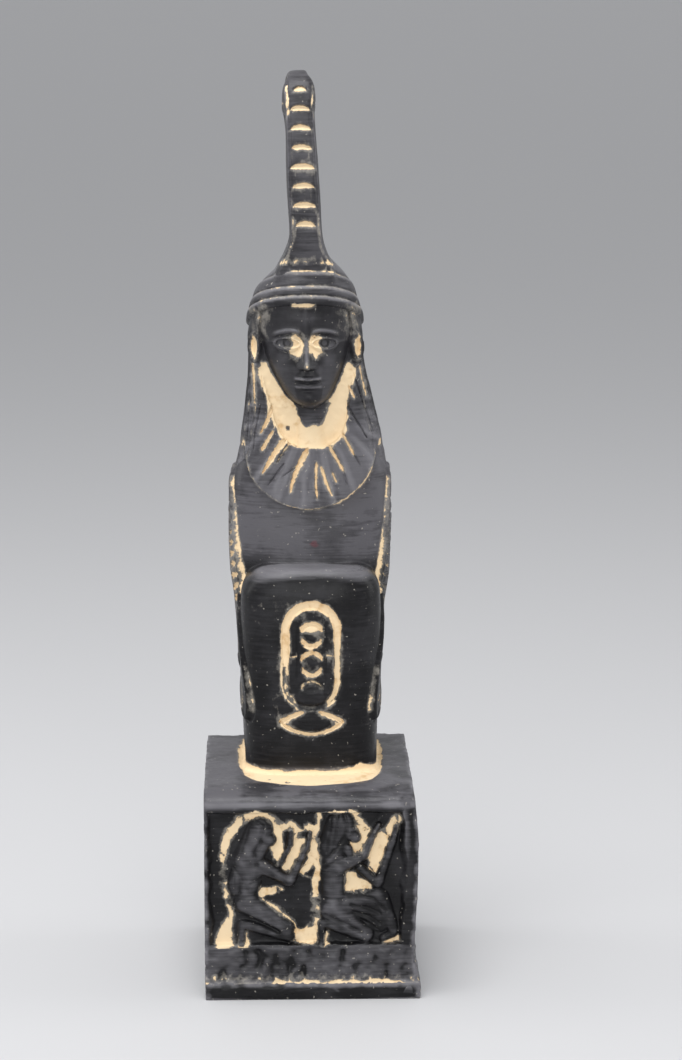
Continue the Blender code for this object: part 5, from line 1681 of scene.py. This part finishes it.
def paintedStone():
    s = paintSettings
    graph = Graph("painted stone")
    place = graph.add("ShaderNodeTexCoord", output=3)
    wash = graph.add("ShaderNodeAttribute", {"attribute_name": "wash"}, output=2)
    ridge = graph.add("ShaderNodeAttribute", {"attribute_name": "ridge"}, output=2)
    fine = graph.noise(place, 1500.0, 3.0)
    crumbs = graph.noise(place, 520.0, 4.0)
    patches = graph.noise(place, 120.0, 3.0)
    clouds = graph.noise(place, 55.0, 4.0, 0.6)
    height = graph.add("ShaderNodeSeparateXYZ", None, {"Vector": place}, 2)
    calm = height.step(0.171, 0.176) * height.step(0.204, 0.200)
    streaks = 0.5 + (graph.noise(place, 1300.0, 4.0, 0.6, (0.085, 0.085, 1.0)) - 0.5) * (1.0 - calm * 0.75)
    sheenAndWearAmounts = graph.add("ShaderNodeAttribute", {"attribute_name": "sheenAndWear"}, output=2)
    uprights = graph.noise(place, 700.0, 3.0, 0.6, (1.0, 1.0, 0.12))
    fineUneven, crumbsUneven, patchesUneven, cloudsUneven, streaksUneven = (
        noise - 0.5 for noise in (fine, crumbs, patches, clouds, streaks))
    edge = wash + crumbsUneven * 0.85 + fineUneven * 0.5
    bare = edge.step(-0.06, 0.08)
    veil = (wash + patchesUneven * 1.3 + crumbsUneven * 1.5 + fineUneven * 0.8).step(-0.75, 0.15)
    worn = ridge * 2.4 + crumbsUneven * 1.1 + patchesUneven * 0.7 + fineUneven * 0.7
    worn = worn.step(0.34, 0.80)
    specks = graph.noise(place, 950.0, 1.0).step(0.725, 0.765)
    specks = specks + graph.noise(place, 410.0, 2.0, 0.7).step(0.735, 0.77)
    scuffs = (streaks * 0.3 + clouds * 0.4 + patches * 0.3).step(0.46, 0.64)
    black = graph.mix(scuffs * 0.45, s["black"], s["dusty"])
    # painted sheen: parts above the knees' top in front, and higher parts behind, are painted lighter grey,
    # weaker on the neck and face and a little stronger again from the brow up
    behind = graph.add("ShaderNodeSeparateXYZ", None, {"Vector": place}, 1).step(0.003, 0.012)
    above = graph.blend(behind, height.step(0.121, 0.128),
                        (height + cloudsUneven * 0.04).step(0.075, 0.170))
    upper = above * (0.20 + 0.80 * height.step(0.174, 0.162) + 0.30 * height.step(0.200, 0.206))
    # painted highlight along the plinth's top band
    plinthTopHighlight = height.step(0.0570, 0.0590) * height.step(0.0655, 0.0635)
    brushed = (clouds * 0.66 + streaks * 0.34).step(0.40, 0.59)
    sheenAndWear = upper * (0.52 + 0.78 * brushed) + plinthTopHighlight * (0.34 + 0.90 * brushed)
    black = graph.mix(sheenAndWear.math("MINIMUM", 1.0), black, s["sheenAndWear"])
    # the grey of rubbed wear and of painted highlight and sheen, as each vertex holds it
    wearAndHighlight = (sheenAndWearAmounts + cloudsUneven * 0.5 + streaksUneven * 0.5) * (sheenAndWearAmounts.step(0.0, 0.25))
    black = graph.mix(wearAndHighlight.step(0.05, 1.0), black, s["wearAndHighlight"])
    soft = (ridge * 1.6 + cloudsUneven * 0.5 + patchesUneven * 0.3).step(0.02, 0.45)
    black = graph.mix(soft * 0.55, black, s["dusty"])
    black = graph.mix(worn * 0.5, black, s["worn"])
    black = graph.mix(veil * 0.42, black, s["worn"])
    black = graph.mix(specks * 0.5, black, s["worn"])
    away = graph.add("ShaderNodeVectorMath", {"operation": "DISTANCE"},
                     {0: place, 1: s["redSpeckPlace"]}, 1)
    black = graph.mix((away + crumbsUneven * 0.0030).step(0.0013, 0.0005) * 0.25, black, s["redSpeck"])
    stain = (patches * 0.6 + crumbs * 0.4).step(0.30, 0.48)
    stone = graph.mix(stain, s["stoneDark"], s["stone"])
    stone = graph.mix(edge.step(0.30, 0.0) * 0.45, stone, s["stoneDark"])
    graph.put(graph.shader.inputs["Base Color"], graph.mix(bare, black, stone))
    rough = s["blackRough"] + streaksUneven * 0.35 + cloudsUneven * 0.35
    rough = rough + crumbsUneven * 0.2 + worn * 0.2 + veil * 0.2
    graph.put(graph.shader.inputs["Roughness"], graph.blend(bare, rough, s["stoneRough"]))
    uneven = streaks * 0.35 + uprights * 0.2 + crumbs * 0.45 + fine * 0.2 + clouds * 1.2 - bare * 0.6
    bump = graph.add("ShaderNodeBump", None, {"Height": uneven, "Strength": 0.6, "Distance": 0.00024})
    graph.put(graph.shader.inputs["Normal"], bump)
    graph.shader.inputs["Specular IOR Level"].default_value = s["shine"]
    return graph.material


statue.data.materials.clear()
statue.data.materials.append(paintedStone())

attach(statue, "root")
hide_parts("maat_statue")


print("lighting the stage")

stageSettings = {
    "floor": (0.54, 0.54, 0.55),
    "floorRough": 0.7,
    "floorWide": 80,
    "cameraHigh": 0.2995,
    "cameraAway": 0.8585,
    "cameraAside": 0.00907,
    "turn": 1.5,
    "pitch": 10.9,
    "lens": 100,
    "sensorHigh": 36,
    "sky": (0.93, 0.94, 0.96),
    "skyStrength": 0.62,
    # place, aim, width and height, power
    "lights": {
        "soft front": ((-0.15, -1.70, 0.62), (0, 0, 0.16), (1.6, 0.9), 13.0),
        "soft top": ((-0.10, -0.18, 0.85), (0, 0, 0.15), (0.5, 0.4), 5.0),
        "soft left": ((-0.95, 0.15, 0.50), (0, 0, 0.13), (0.4, 0.8), 2.5),
        "soft right": ((0.95, 0.05, 0.45), (0, 0, 0.13), (0.4, 0.8), 2.5),
    },
}


def addFloor():
    deselectAll()
    bpy.ops.mesh.primitive_plane_add(size=stageSettings["floorWide"])
    floor = named("floor")
    graph = Graph("pale floor")
    graph.shader.inputs["Base Color"].default_value = (*stageSettings["floor"], 1)
    graph.shader.inputs["Roughness"].default_value = stageSettings["floorRough"]
    floor.data.materials.append(graph.material)


def addLight(name, place, aim, size, power):
    deselectAll()
    bpy.ops.object.light_add(type="AREA", location=place)
    light = named(name)
    light.data.shape = "RECTANGLE"
    light.data.size, light.data.size_y = size
    light.data.energy = power
    away = np.array(aim) - np.array(place)
    flat = math.hypot(away[0], away[1])
    light.rotation_euler = (math.atan2(flat, -away[2]), 0, math.atan2(away[1], away[0]) - math.pi / 2)


def addCamera():
    s = stageSettings
    deselectAll()
    turn = math.radians(s["turn"])
    x, y = s["cameraAside"], -s["cameraAway"]
    place = (x * math.cos(turn) + y * math.sin(turn), -x * math.sin(turn) + y * math.cos(turn),
             s["cameraHigh"])
    bpy.ops.object.camera_add(location=place, rotation=(math.radians(90 - s["pitch"]), 0, -turn))
    camera = named("camera")
    camera.data.lens = s["lens"]
    camera.data.sensor_fit = "VERTICAL"
    camera.data.sensor_height = s["sensorHigh"]
    bpy.context.scene.camera = camera


def addSky():
    world = bpy.data.worlds.new("studio")
    world.use_nodes = True
    background = world.node_tree.nodes["Background"]
    background.inputs["Color"].default_value = (*stageSettings["sky"], 1)
    background.inputs["Strength"].default_value = stageSettings["skyStrength"]
    bpy.context.scene.world = world


addFloor()
addCamera()
for name, settings in stageSettings["lights"].items():
    addLight(name, *settings)
addSky()
bpy.context.scene.view_settings.view_transform = "Standard"
